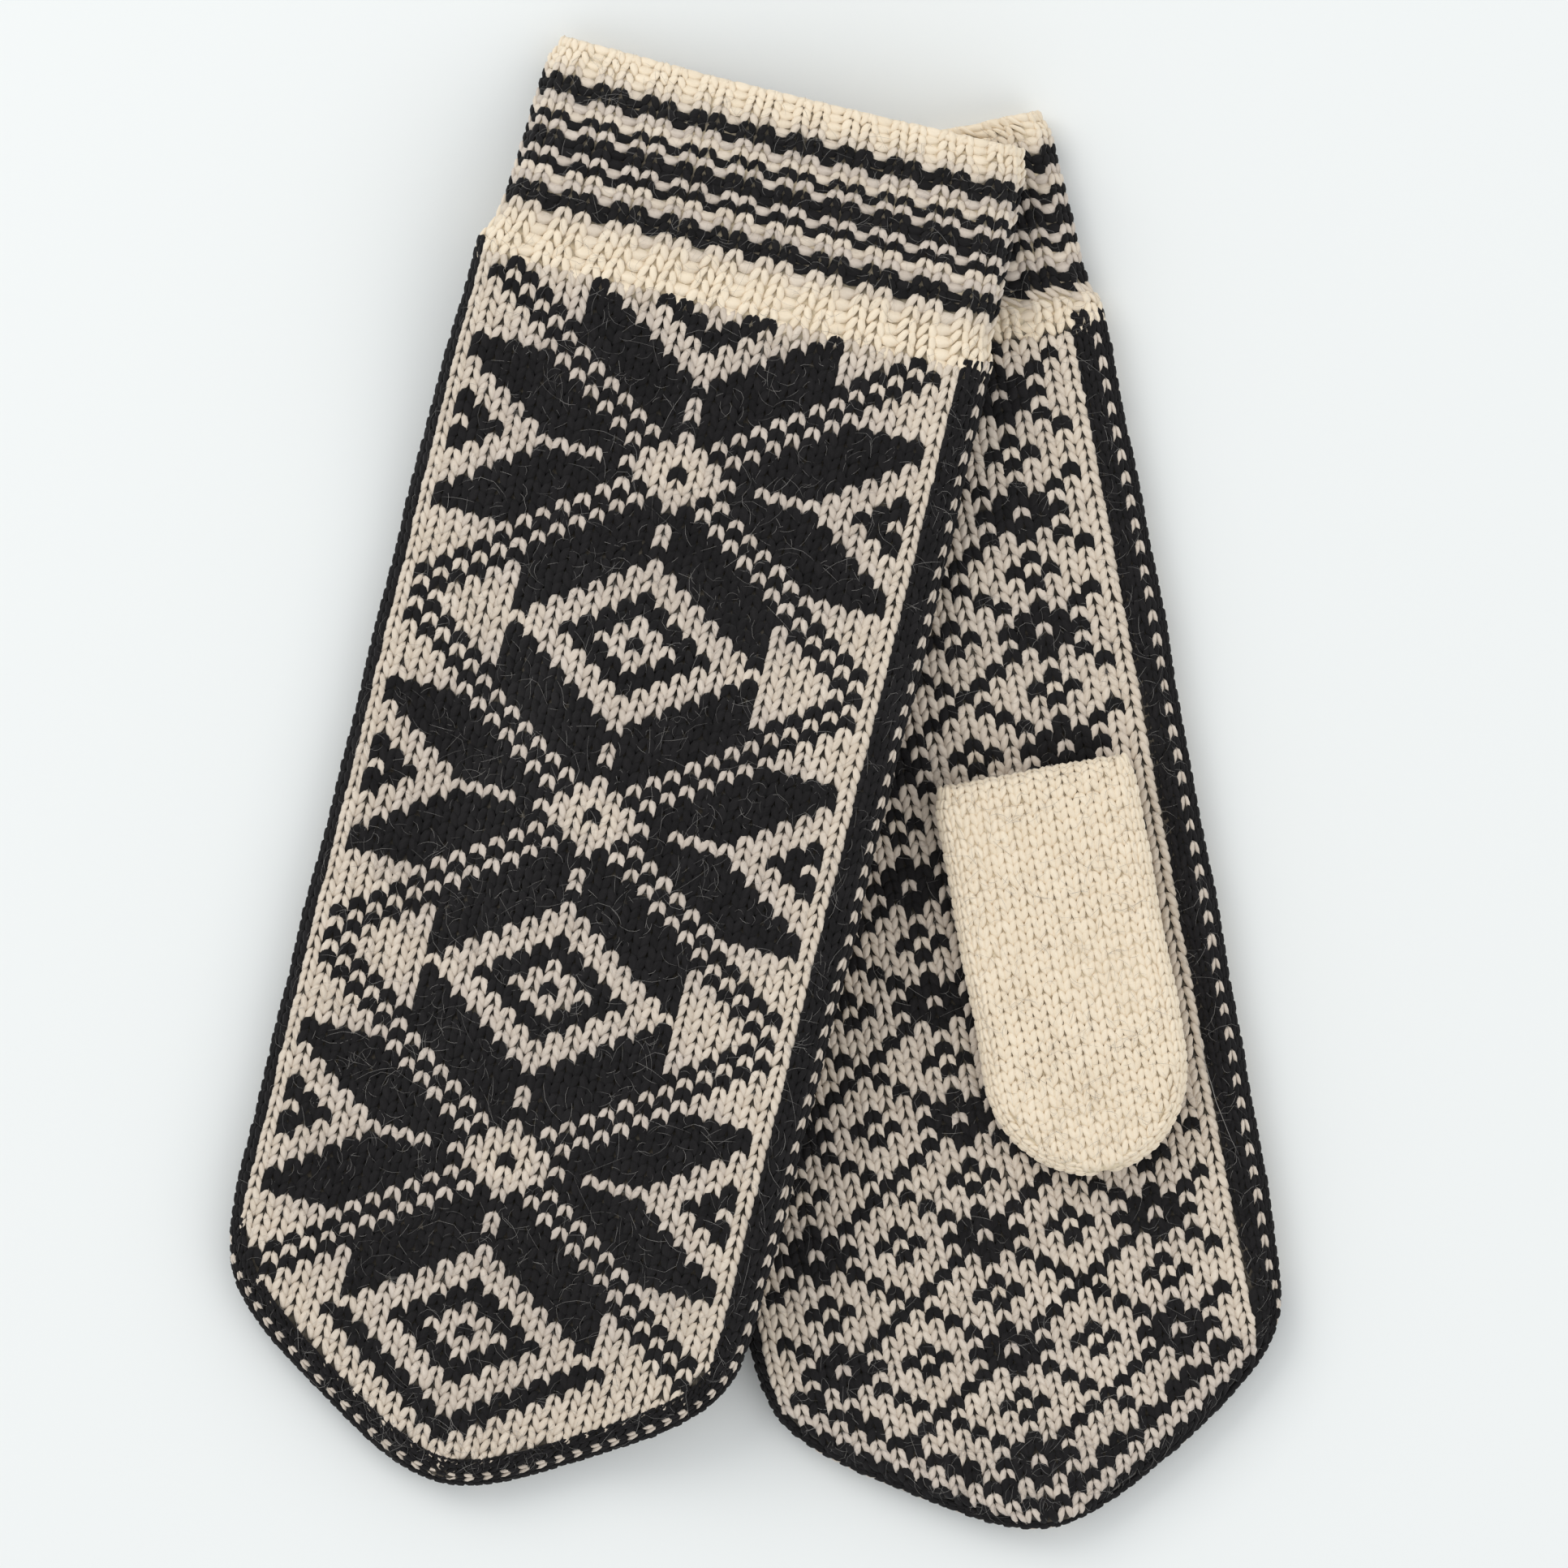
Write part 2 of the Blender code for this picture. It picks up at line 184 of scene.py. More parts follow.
class Graph:
    """A material's node tree, with one method that makes any node."""

    def __init__(self, name: str) -> None:
        """Starts a material with a lone Principled shader.

        Args:
            name: the material's name.
        """
        self.material = bpy.data.materials.new(name)
        self.material.use_nodes = True
        self.tree = self.material.node_tree
        self.shader = self.tree.nodes["Principled BSDF"]

    def add(self, kind: str, settings: dict, inputs: dict, output: object = 0) -> Wire:
        """Makes one node.

        Args:
            kind: the node's type.
            settings: its own settings, set first.
            inputs: values or wires for its sockets, by name or number.
            output: the name or number of the socket that is returned.

        Returns:
            The wire of that output.
        """
        node = self.tree.nodes.new(kind)
        for name, value in settings.items():
            setattr(node, name, value)
        for name, value in inputs.items():
            self.feed(node.inputs[name], value)
        return Wire(self, node.outputs[output])

    def noise(self, scale: float, detail: float, where: Wire | None = None) -> Wire:
        """A noise texture's value, on Object coordinates unless it is told where."""
        where = where or self.add("ShaderNodeTexCoord", {}, {}, "Object")
        return self.add("ShaderNodeTexNoise", {}, {"Vector": where, "Scale": scale, "Detail": detail})

    def value(self, name: str) -> Wire:
        """One of the mesh's own values."""
        return self.add("ShaderNodeAttribute", {"attribute_name": name}, {}, "Fac")

    def unrolled(self, name: str) -> tuple[Wire, ...]:
        """The two coordinates of one of the mesh's own maps."""
        places = self.add("ShaderNodeUVMap", {"uv_map": name}, {})
        return tuple(self.add("ShaderNodeSeparateXYZ", {}, {0: places}, axis) for axis in "XY")

    def between(self, share: Wire, low: object, high: object) -> Wire:
        """A colour from low to high, by a share of 0 to 1."""
        return self.add("ShaderNodeMix", {"data_type": "RGBA"}, {"Factor": share, 6: low, 7: high}, 2)

    def bump(self, strength: float, distance: float, height: Wire) -> Wire:
        """A normal raised by a height."""
        return self.add("ShaderNodeBump", {},
                        {"Strength": strength, "Distance": distance, "Height": height})

    def feed(self, socket: bpy.types.NodeSocket, value: object) -> None:
        """Links a wire to a socket, or sets the socket's own value."""
        if isinstance(value, Wire):
            self.tree.links.new(value.socket, socket)
        else:
            socket.default_value = value

    def finish(self, **inputs: object) -> bpy.types.Material:
        """Feeds the shader, by socket names with underscores for spaces, and returns the material."""
        for name, value in inputs.items():
            self.feed(self.shader.inputs[name.replace("_", " ")], value)
        return self.material


Shade = tuple[float, float, float]


def from_screen(colour: Shade) -> tuple[float, float, float, float]:
    """A colour given in 0..255 display values, made linear, with full alpha."""
    share = [c / 255.0 for c in colour]
    return (*[c / 12.92 if c <= 0.04045 else ((c + 0.055) / 1.055) ** 2.4 for c in share], 1.0)


@dataclass(frozen=True)
class WoolFinish:
    """Spun wool: two shades mottled along the yarn, a painted shade on each strand's flanks and ends where
    strands tuck under, and a twist whose grooves take a little painted shade.

    Yarn among strands of the other colour is dulled by their hairs, and yarn in the open is not,
    so that there are two sets of shades.
    """

    name: str
    pale: Shade
    deep: Shade
    # painted shade: the colour of a strand's flanks and ends among strands of the other colour
    flank_shade: Shade
    open_pale: Shade
    open_deep: Shade
    # painted shade: the colour of a strand's flanks and ends in the open
    open_flank_shade: Shade
    sheen: float = 0.25

    def make(self) -> bpy.types.Material:
        """Builds the material.

        Returns:
            The material: base colour from per-strand tint, mottling, fine fibre noise and a little painted
                shade in the ply twist's grooves,
            mixed towards a painted shade for the strand's flanks and ends by its painted light share; a
            bump of fibre and ply twist.
        """
        g = Graph(self.name)
        mottle, fibre = g.noise(130.0, 2.0), g.noise(2600.0, 2.0)
        tint, crown, openness = g.value("tint"), g.value("crown"), g.value("open")
        around, along = g.unrolled("strand")
        twist = (around * 12.566 + along * 15.0).sine() * 0.5 + 0.5
        spun = g.add("ShaderNodeCombineXYZ", {}, {0: around * 9.0, 1: along * 1.6, 2: tint * 60.0})
        streak = g.noise(1.0, 2.0, spun)
        # the twist term makes the colour paler on the plies and darker in their grooves: painted shade
        blend = (tint * 0.45 + mottle * 0.30 + fibre * 0.35 + streak * 0.70 + twist * 0.10
                 - 0.45).clamped()
        deep, pale, flank_shade = (
            g.between(openness, from_screen(dull), from_screen(clear))
            for dull, clear in ((self.deep, self.open_deep), (self.pale, self.open_pale),
                                (self.flank_shade, self.open_flank_shade)))
        # painted light: the top keeps the strand's own colour, and flanks and ends are darkened to the
        # painted shade
        colour = g.between(crown, flank_shade, g.between(blend, deep, pale))
        bump = g.bump(0.45, 0.00025, fibre * 0.4 + twist * 0.3 + streak * 0.6)
        return g.finish(Base_Color=colour, Roughness=0.86 + fibre * 0.12, Normal=bump,
                        Sheen_Weight=self.sheen, Sheen_Roughness=0.5, Specular_IOR_Level=0.2)


@dataclass(frozen=True)
class HairFinish:
    """Loose hairs: pale, each with a shade of its own."""

    name: str
    pale: Shade
    deep: Shade

    def make(self) -> bpy.types.Material:
        """Builds the material: base colour by each hair's tint, with a fine fleck."""
        g = Graph(self.name)
        fleck = g.noise(700.0, 1.0)
        share = (g.value("tint") * 0.8 + fleck * 0.4 - 0.1).clamped()
        return g.finish(Base_Color=g.between(share, from_screen(self.deep), from_screen(self.pale)),
                        Roughness=0.7 + fleck * 0.2, Specular_IOR_Level=0.2)


@dataclass(frozen=True)
class GroundFinish:
    """The fabric behind the strands, and the inside of a mitten: floats and purl backs."""

    name: str
    pale: Shade
    deep: Shade

    def make(self) -> bpy.types.Material:
        """Builds the material: shade by the piece's own attribute, ridged across by its rows, with painted
        shade in the grooves between the ridges.
        """
        g = Graph(self.name)
        fleck, shade = g.noise(900.0, 3.0), g.value("shade")
        across, along = (turn * 6.2832 for turn in g.unrolled("rows"))
        ridge = along.sine() * 0.5 + across.sine() * 0.3 + 0.5
        # the ridge term paints shade into the grooves, where the bump is low
        share = (shade + (fleck * 0.35 + ridge * 0.15 - 0.25) * (0.25 + shade)).clamped()
        return g.finish(Base_Color=g.between(share, from_screen(self.deep), from_screen(self.pale)),
                        Roughness=0.85 + fleck * 0.12, Normal=g.bump(0.6, 0.0006, ridge + fleck * 0.4),
                        Sheen_Weight=0.2, Specular_IOR_Level=0.2)


class Wardrobe:
    """Every finish, made once."""

    def __init__(self) -> None:
        """Makes the four finishes."""
        # each wool's third and sixth shades are painted shade for the strands' flanks and ends
        self.cream = WoolFinish("cream_wool", (226, 214, 202), (184, 171, 158), (108, 96, 87),
                                (250, 236, 213), (231, 214, 188), (218, 201, 175)).make()
        self.black = WoolFinish("black_wool", (38, 36, 37), (13, 12, 13), (5, 5, 5),
                                (34, 33, 33), (12, 11, 12), (5, 5, 5), 0.04).make()
        self.hair = HairFinish("stray_wool_hairs", (184, 180, 175), (96, 94, 92)).make()
        self.ground = GroundFinish("mitten_lining_wool", (222, 206, 177), (32, 29, 28)).make()


# ---------------------------------------------------------------- how a mitten lies


@dataclass(frozen=True)
class Lie:
    """One mitten's lengths and how it lies."""

    name: str
    cuff_length: float
    hand_length: float
    cuff_centre: tuple[float, float]
    lean: float
    palm_up: bool

    @property
    def length(self) -> float:
        """Cast-on edge to fingertip."""
        return self.cuff_length + self.hand_length

    @property
    def thumb_base(self) -> float:
        """Cast-on edge to the thumb's base."""
        return self.cuff_length + THUMB_BASE_FROM_CUFF

    def on_surface(self, u: Array, s: Array) -> tuple[Array, Array]:
        """World x and y: the flat point turned by the lean and moved to the cuff's centre."""
        lean = math.radians(self.lean)
        return (self.cuff_centre[0] + u * math.cos(lean) - s * math.sin(lean),
                self.cuff_centre[1] - u * math.sin(lean) - s * math.cos(lean))

    def from_surface(self, x: Array, y: Array) -> tuple[Array, Array]:
        """The flat u and s of a world x and y: the reverse of on_surface."""
        lean = math.radians(self.lean)
        dx, dy = x - self.cuff_centre[0], y - self.cuff_centre[1]
        return (dx * math.cos(lean) - dy * math.sin(lean),
                -dx * math.sin(lean) - dy * math.cos(lean))

    def place(self, u: Array, s: Array, w: Array, is_thumb: bool) -> Array:
        """World points of flat points.

        A palm-up mitten lies on the surface, so its height is w. The other one is turned over and
        draped: its height is the lower mitten's support plus its own thumb's rise plus what is
        left of the hand's thickness above w.

        Args:
            u: across.
            s: along.
            w: through.
            is_thumb: whether the points belong to the thumb, which keeps its full rise.

        Returns:
            Points, with a last axis of x, y, z.
        """
        x, y = self.on_surface(u, s)
        if self.palm_up:
            return np.stack([x, y, w], -1)
        lower_u, lower_s = LEFT.from_surface(x, y)
        height = HAND_THICKNESS + LAY_CLEARANCE
        support = height * smooth((lower_u + HAND_WIDTH / 2 + DRAPE_LEAD + DRAPE_RAMP) / DRAPE_RAMP)
        support = support * smooth((lower_s + LAY_CLEARANCE + DROOP_RAMP) / DROOP_RAMP)
        away_u = np.abs(u - THUMB_OFFSET) - THUMB_WIDTH / 2 - THUMB_RISE_MARGIN
        middle = self.thumb_base + THUMB_LENGTH / 2
        away_s = np.abs(s - middle) - THUMB_LENGTH / 2 - THUMB_RISE_MARGIN
        rise = THUMB_RISE * smooth(1 - away_u / THUMB_RISE_RAMP) * smooth(1 - away_s / THUMB_RISE_RAMP)
        rise = THUMB_RISE if is_thumb else rise
        return np.stack([x, y, SEAM_GAP + support + rise + HAND_THICKNESS - w], -1)


LEFT = Lie("left", 0.0345, 0.2350, (0.00974, 0.12100), -10.3, True)
RIGHT = Lie("right", 0.0377, 0.2388, (0.00594, 0.13280), 14.0, False)


# ---------------------------------------------------------------- flattened tubes


@dataclass
class FlatTube:
    """A flattened tube of fabric with an outline u = half width at s, and pillow edges."""

    lie: Lie
    radius: float
    middle: float          # w of its middle plane
    centre: float          # u of its centre line
    start: float           # s where the outline starts
    end: float             # s of its apex
    is_thumb: bool
    outline: Array = field(init=False, repr=False)

    def __post_init__(self) -> None:
        """Tables the outline's run, for points along its rim.

        The stations thin out towards the apex as a square, and each holds the run so far, s, the
        half width and the outward direction, which is the run turned a quarter.
        """
        t = np.linspace(0.0, 1.0, 1500)
        s = self.end - (self.end - self.start) * (1 - t) ** 2
        half = self.half_width(s)
        run = np.concatenate([[0.0], np.cumsum(np.hypot(np.diff(s), np.diff(half)))])
        du, ds = np.gradient(half), np.gradient(s)
        size = np.hypot(du, ds)
        self.outline = np.stack([run, s, half, ds / size, -du / size])

    def half_width(self, s: Array) -> Array:
        """Half the width at s; each kind of tube has its own."""
        raise NotImplementedError

    def along(self, y: Array) -> tuple[Array, Array, Array]:
        """For a distance along the fabric: s, how far the face has risen (0 to 1), and its tilt."""
        return y, np.ones_like(y), np.zeros_like(y)

    def ripple(self, u: Array, s: Array) -> Array:
        """The small unevenness of worn fabric: three crossing waves, a fifth of a millimetre high."""
        return 0.00010 * (np.sin(u * 190 + s * 61) + np.sin(s * 230 - u * 80 + 1.3)
                          + np.sin(u * 95 - s * 117 + 2.1) - 1.6)

    def section(self, s: Array) -> tuple[Array, Array, Array, Array, Array]:
        """The section at s.

        Its ends are half ellipses, as wide as the radius over the cosine of the outline's slant,
        and its half height falls as a circle where the middle is nearer the outline than the
        radius.

        Args:
            s: along the tube.

        Returns:
            Straight half run, end's half width, half height, outline slope, cosine of the slant.
        """
        step = 0.0002
        half = self.half_width(s)
        slope = (half - self.half_width(s - step)) / step
        lean = 1.0 / np.sqrt(1 + slope ** 2)
        reach = np.clip(np.minimum(self.radius / lean, half), 1e-5, None)
        depth = np.minimum(half * lean / self.radius, 1.0)
        height = self.radius * np.sqrt(1 - (1 - depth) ** 2)
        return np.maximum(half - reach, 0.0), reach, height, slope, lean

    def wrap(self, x: Array, y: Array, h: Array, face: Face) -> Array:
        """World points of fabric points on a face, carried on round the edge.

        Past the straight run the point turns by the angle (|x| - straight) / reach, up to half a
        turn, and then runs back along the far face. h moves it along the outward normal.

        Args:
            x: across the fabric from the centre line.
            y: along the fabric.
            h: above the surface.
            face: the face that x starts on.

        Returns:
            World points.
        """
        s, risen, tilt = self.along(y)
        straight, reach, height, slope, lean = self.section(s)
        size, side = np.abs(x), np.sign(x)
        angle = np.clip((size - straight) / reach, 0.0, math.pi)
        over = np.maximum(size - straight - math.pi * reach, 0.0)
        u = np.where(size <= straight, size, straight + reach * np.sin(angle)) - over
        out, up = np.sin(angle), np.cos(angle)
        h = h + self.ripple(x, y)
        across = side * (u + h * out * lean)
        s = s - h * out * slope * lean - h * tilt * np.abs(up)
        rise = height * risen * up + h * up * risen
        w = self.middle - rise if face is Face.BACK else self.middle + rise
        return self.settle(across, s, w)

    def rim(self, side: int, angle: Array, run: Array, h: Array) -> Array:
        """World points round the edge: the outline moved in by radius x (1 - sine of the angle).

        Args:
            side: 1 on the thumb's side, -1 on the other.
            angle: 0 on the back face, half a turn on the palm's.
            run: along the outline.
            h: above the surface.

        Returns:
            World points.
        """
        table = self.outline
        s, half, out_u, out_s = (np.interp(run, table[0], row) for row in table[1:])
        past = np.maximum(run - table[0, -1], 0.0)
        h = h + self.ripple(side * half, s)
        inset = self.radius * (1 - np.sin(angle)) - h * np.sin(angle)
        u = side * np.maximum(half - out_u * inset - past, 0.0)
        return self.settle(u, s - out_s * inset, self.middle - (self.radius + h) * np.cos(angle))

    def settle(self, u: Array, s: Array, w: Array) -> Array:
        """World points of flat points measured from the tube's centre line."""
        return self.lie.place(u + self.centre, s, w, self.is_thumb)


class HandTube(FlatTube):
    """The cuff and hand of a mitten."""

    def __init__(self, lie: Lie) -> None:
        """A tube from the cast-on edge to the fingertip."""
        super().__init__(lie, HAND_THICKNESS / 2, HAND_THICKNESS / 2, 0.0,
                         lie.cuff_length, lie.length, False)

    def half_width(self, s: Array) -> Array:
        """The cuff widens evenly; the hand widens gently and then closes along a hyperbola.

        Cuff and hand are joined by a smooth step over 5 mm, and the hand's sides and slants by a
        power mean, as in the frame. The cast-on edge is drawn in by a millimetre at its corners.
        """
        lie = self.lie
        cuff = 0.5 * (CUFF_EDGE_WIDTH + (CUFF_END_WIDTH - CUFF_EDGE_WIDTH) * s / lie.cuff_length)
        side = 0.5 * (HAND_START_WIDTH + (HAND_WIDTH - HAND_START_WIDTH)
                      * smooth((s - lie.cuff_length) / HAND_WIDEN_LENGTH))
        x = np.maximum(lie.length - s, 0.0)
        slant = np.maximum(TIP_SLANT * np.sqrt(x * (x + 2 * TIP_APEX)), 1e-6)
        hand = (side ** -SHOULDER_SHARPNESS + slant ** -SHOULDER_SHARPNESS) ** (-1 / SHOULDER_SHARPNESS)
        cuff = cuff - 0.0011 * (1 - smooth(s / 0.0045))
        return cuff + (hand - cuff) * smooth((s - lie.cuff_length + 0.001) / 0.005)

    def settle(self, u: Array, s: Array, w: Array) -> Array:
        """World points; the cast-on edge dips in the middle and the upper cuff sits a little aside."""
        dip = 0.0009 * (1 - (u / 0.048) ** 2) * (1 - smooth(s / 0.030))
        aside = 0.0 if self.lie.palm_up else 0.0012 * (1 - smooth((s - 0.030) / 0.014))
        return self.lie.place(u + aside, s + dip, w, False)


class ThumbTube(FlatTube):
    """A thumb, from its base on the palm to its rounded end."""

    def __init__(self, lie: Lie) -> None:
        """A tube over the palm, beyond the lay clearance."""
        radius = THUMB_THICKNESS / 2
        super().__init__(lie, radius, HAND_THICKNESS + LAY_CLEARANCE + radius, THUMB_OFFSET,
                         lie.thumb_base, lie.thumb_base + THUMB_LENGTH, True)

    def half_width(self, s: Array) -> Array:
        """Straight sides with slightly rounded lower corners, then a quarter ellipse."""
        x = np.clip((s - self.end + THUMB_ROUND_LENGTH) / THUMB_ROUND_LENGTH, 0.0, 1.0)
        corner = 0.0012 * (1 - smooth((s - self.start) / 0.005))
        return np.maximum((THUMB_WIDTH / 2 - corner) * np.sqrt(1 - x ** 2), 1e-6)

    def along(self, y: Array) -> tuple[Array, Array, Array]:
        """The base turns up a quarter circle from the palm, then the face runs straight."""
        turn = np.clip(y / self.radius, 0.0, math.pi / 2)
        straight = np.maximum(y - self.radius * math.pi / 2, 0.0)
        s = self.start + self.radius * (1 - np.cos(turn)) + straight
        return s, np.sin(turn), np.cos(turn)

    @property
    def run_up(self) -> float:
        """How much longer the fabric is than the thumb, for the quarter turn at its base."""
        return self.radius * (math.pi / 2 - 1)


# ---------------------------------------------------------------- strands of yarn


@dataclass(frozen=True)
class StrandShape:
    """The faces of one strand: rings of points between two ends."""

    stations: tuple[float, ...]
    sides: int

    @property
    def points(self) -> int:
        """Points in one strand: its rings and two ends."""
        return len(self.stations) * self.sides + 2

    def corners(self) -> tuple[Array, Array, Array, Array]:
        """One strand's faces and their place on its unrolled skin.

        Returns:
            Triangles (n, 3), quads (m, 4), and for each the (around, along) of every corner.
        """
        rings, sides = len(self.stations), self.sides
        k = np.arange(sides)
        near, far = self.points - 2, self.points - 1
        last = (rings - 1) * sides
        triangles = np.concatenate([
            np.stack([np.full(sides, near), (k + 1) % sides, k], -1),
            np.stack([np.full(sides, far), last + k, last + (k + 1) % sides], -1)])
        low, high = 1 / (rings + 1), rings / (rings + 1)
        half = (k + 0.5) / sides
        places = np.concatenate([
            np.stack([np.stack([half, 0 * half], -1), np.stack([(k + 1) / sides, 0 * half + low], -1),
                      np.stack([k / sides, 0 * half + low], -1)], 1),
            np.stack([np.stack([half, 0 * half + 1], -1), np.stack([k / sides, 0 * half + high], -1),
                      np.stack([(k + 1) / sides, 0 * half + high], -1)], 1)])
        ring = np.repeat(np.arange(rings - 1), sides)
        i = np.tile(k, rings - 1)
        a, b = ring * sides + i, ring * sides + (i + 1) % sides
        quads = np.stack([a, b, b + sides, a + sides], -1)
        v, step = (ring + 1) * low, low
        quad_places = np.stack([np.stack([i / sides, v], -1), np.stack([(i + 1) / sides, v], -1),
                                np.stack([(i + 1) / sides, v + step], -1),
                                np.stack([i / sides, v + step], -1)], 1)
        return triangles, quads, places, quad_places


STITCH_LEG = StrandShape((-0.62, 0.0, 0.62), 6)
STRAY_FIBRE = StrandShape((-0.72, -0.25, 0.25, 0.72), 3)


@dataclass
class Batch:
    """Arrays of one length. One number may stand for all of them, and a grid is flattened."""

    def __post_init__(self) -> None:
        """Spreads every field over the first one's shape."""
        names = list(self.__dataclass_fields__)
        shape = np.shape(getattr(self, names[0]))
        for name in names:
            setattr(self, name, np.broadcast_to(getattr(self, name), shape).ravel())

    def pick(self, mask: Array) -> "Batch":
        """The ones that a mask picks."""
        return type(self)(*[getattr(self, name)[mask] for name in self.__dataclass_fields__])


@dataclass
class Strands(Batch):
    """Many strands on a tube, each with an anchor, an axis and its own thickness."""

    x: Array
    y: Array
    axis_x: Array
    axis_y: Array
    wide: Array            # half thickness across
    tall: Array            # half thickness off the surface
    level: Array           # height of the middle
    sink: Array            # how far the ends sink below the middle
    bow: Array             # how far the middle bows sideways
    dive: Array            # how much lower the far end lies than the near one
    tint: Array            # its share of the paler shade
    open: Array = 1.0      # how much of the knitting round it is cream

    def skin(self, shape: StrandShape) -> tuple[Array, Array, Array, Array]:
        """Fabric points of every strand.

        The centre runs along the axis, bows by 1 - t squared, sinks by t squared and dives by t.
        A ring's radius is the root of 1 - t squared, a little fuller at the near end, and its
        points stand round it at even angles.

        Args:
            shape: the strand's rings and sides.

        Returns:
            x, y, h and a painted light share, each (strands, points). The share is 1 on top and falls to
            the flanks, underside and ends, where the finish paints shade.
        """
        t = np.concatenate([np.repeat(shape.stations, shape.sides), [-1.0, 1.0]])
        turn = 2 * math.pi * (np.arange(shape.sides) + 1) / shape.sides - math.pi / 2
        around = np.concatenate([np.tile(turn, len(shape.stations)), [0.0, 0.0]])
        radius = np.sqrt(1 - t ** 2) * (1 - 0.16 * t)
        size = np.hypot(self.axis_x, self.axis_y)
        side_x, side_y = (-self.axis_y / size)[:, None], (self.axis_x / size)[:, None]
        across = self.wide[:, None] * (radius * np.cos(around)) + self.bow[:, None] * (1 - t ** 2)
        x = self.x[:, None] + self.axis_x[:, None] * t / 2 + side_x * across
        y = self.y[:, None] + self.axis_y[:, None] * t / 2 + side_y * across
        h = self.level[:, None] + self.tall[:, None] * radius * np.sin(around)
        h = h - self.sink[:, None] * t ** 2 - self.dive[:, None] * t / 2
        # painted light: 1 on a strand's top, falling on its underside, flanks and ends, where the finish
        # paints shade
        top = np.clip(0.66 + 0.44 * np.sin(around) * radius, 0.0, 1.0)
        top = top * (1 - 0.40 * np.maximum(t, 0) ** 2 - 0.15 * np.minimum(t, 0) ** 2)
        return x, y, h, np.broadcast_to(top, x.shape)


@dataclass
class StrandPiece:
    """One piece made of strands, gathered from the parts of a mitten."""

    name: str
    shape: StrandShape = STITCH_LEG
    corners: list[Array] = field(default_factory=list)
    values: dict[str, list[Array]] = field(default_factory=lambda: {"crown": [], "tint": [], "open": []})

    def gather(self, strands: Strands, carry: Carry) -> None:
        """Adds strands, carried from fabric to world by a function of x, y and h."""
        if not len(strands.x):
            return
        x, y, h, crown = strands.skin(self.shape)
        self.corners.append(carry(x, y, h))
        # the painted light share goes onto the mesh beside each strand's tint and openness
        for name, value in (("crown", crown), ("tint", strands.tint[:, None]),
                            ("open", strands.open[:, None])):
            self.values[name].append(np.broadcast_to(value, x.shape))

    def make(self, material: bpy.types.Material) -> bpy.types.Object:
        """Builds the piece.

        Each strand's volume, summed over its triangles as a . (b x c), says whether the fabric's
        turn has left it inside out, and its faces are reversed where it has. Every strand has its
        own square on the unrolled skin.

        Args:
            material: the finish.

        Returns:
            The piece, at the origin.
        """
        points = np.concatenate(self.corners)
        count, size = points.shape[:2]
        triangles, quads, places, quad_places = self.shape.corners()
        halves = np.concatenate([triangles, quads[:, [0, 1, 2]], quads[:, [0, 2, 3]]])
        local = points - points.mean(1, keepdims=True)
        a, b, c = (local[:, halves[:, i]] for i in range(3))
        inside_out = np.einsum("nij,nij->n", a, np.cross(b, c)) < 0
        shift = (np.arange(count) * size)[:, None, None]
        cells = math.ceil(math.sqrt(count))
        corner = np.stack([np.arange(count) % cells, np.arange(count) // cells], -1)[:, None, None]
        loops, strand_uv, bake_uv = [], [], []
        for faces, where in ((triangles, places), (quads, quad_places)):
            for pick, order in ((~inside_out, slice(None)), (inside_out, slice(None, None, -1))):
                loops.append((faces[:, order][None] + shift[pick]).reshape(-1))
                turned = np.broadcast_to(where[:, order][None], (int(pick.sum()), *where.shape))
                strand_uv.append(turned.reshape(-1, 2))
                bake_uv.append(((corner[pick] + 0.04 + 0.92 * turned) / cells).reshape(-1, 2))
        sizes = np.concatenate([np.full(count * len(triangles), 3), np.full(count * len(quads), 4)])
        mesh = mesh_of(self.name, points.reshape(-1, 3), np.concatenate(loops), sizes)
        add_uv(mesh, "OFBake", np.concatenate(bake_uv))
        add_uv(mesh, "strand", np.concatenate(strand_uv))
        for name, values in self.values.items():
            add_value(mesh, name, np.concatenate(values))
        log.info("%s: %d strands, %d triangles", self.name, count, int((sizes - 2).sum()))
        return piece_of(mesh, material)


def mesh_of(name: str, points: Array, loops: Array, sizes: Array) -> bpy.types.Mesh:
    """A mesh from arrays.

    Args:
        name: the mesh's name.
        points: (n, 3) places.
        loops: the corners of every face, in order.
        sizes: the number of corners of each face.

    Returns:
        The mesh, shaded smooth.
    """
    mesh = bpy.data.meshes.new(name)
    mesh.vertices.add(len(points))
    mesh.vertices.foreach_set("co", points.astype(np.float32).ravel())
    mesh.loops.add(len(loops))
    mesh.loops.foreach_set("vertex_index", loops.astype(np.int32))
    mesh.polygons.add(len(sizes))
    starts = np.concatenate([[0], np.cumsum(sizes)[:-1]])
    mesh.polygons.foreach_set("loop_start", starts.astype(np.int32))
    mesh.update(calc_edges=True)
    mesh.polygons.foreach_set("use_smooth", np.ones(len(sizes), bool))
    mesh.update()
    return mesh


def add_uv(mesh: bpy.types.Mesh, name: str, places: Array) -> None:
    """Gives a mesh a map of corner places."""
    mesh.uv_layers.new(name=name).data.foreach_set("uv", places.astype(np.float32).ravel())


def add_value(mesh: bpy.types.Mesh, name: str, values: Array) -> None:
    """Gives every point of a mesh a value."""
    layer = mesh.attributes.new(name, "FLOAT", "POINT")
    layer.data.foreach_set("value", values.astype(np.float32).ravel())


def piece_of(mesh: bpy.types.Mesh, material: bpy.types.Material) -> bpy.types.Object:
    """An object at the origin with one finish."""
    mesh.materials.append(material)
    piece = bpy.data.objects.new(mesh.name, mesh)
    bpy.context.scene.collection.objects.link(piece)
    return piece


# ---------------------------------------------------------------- stitches


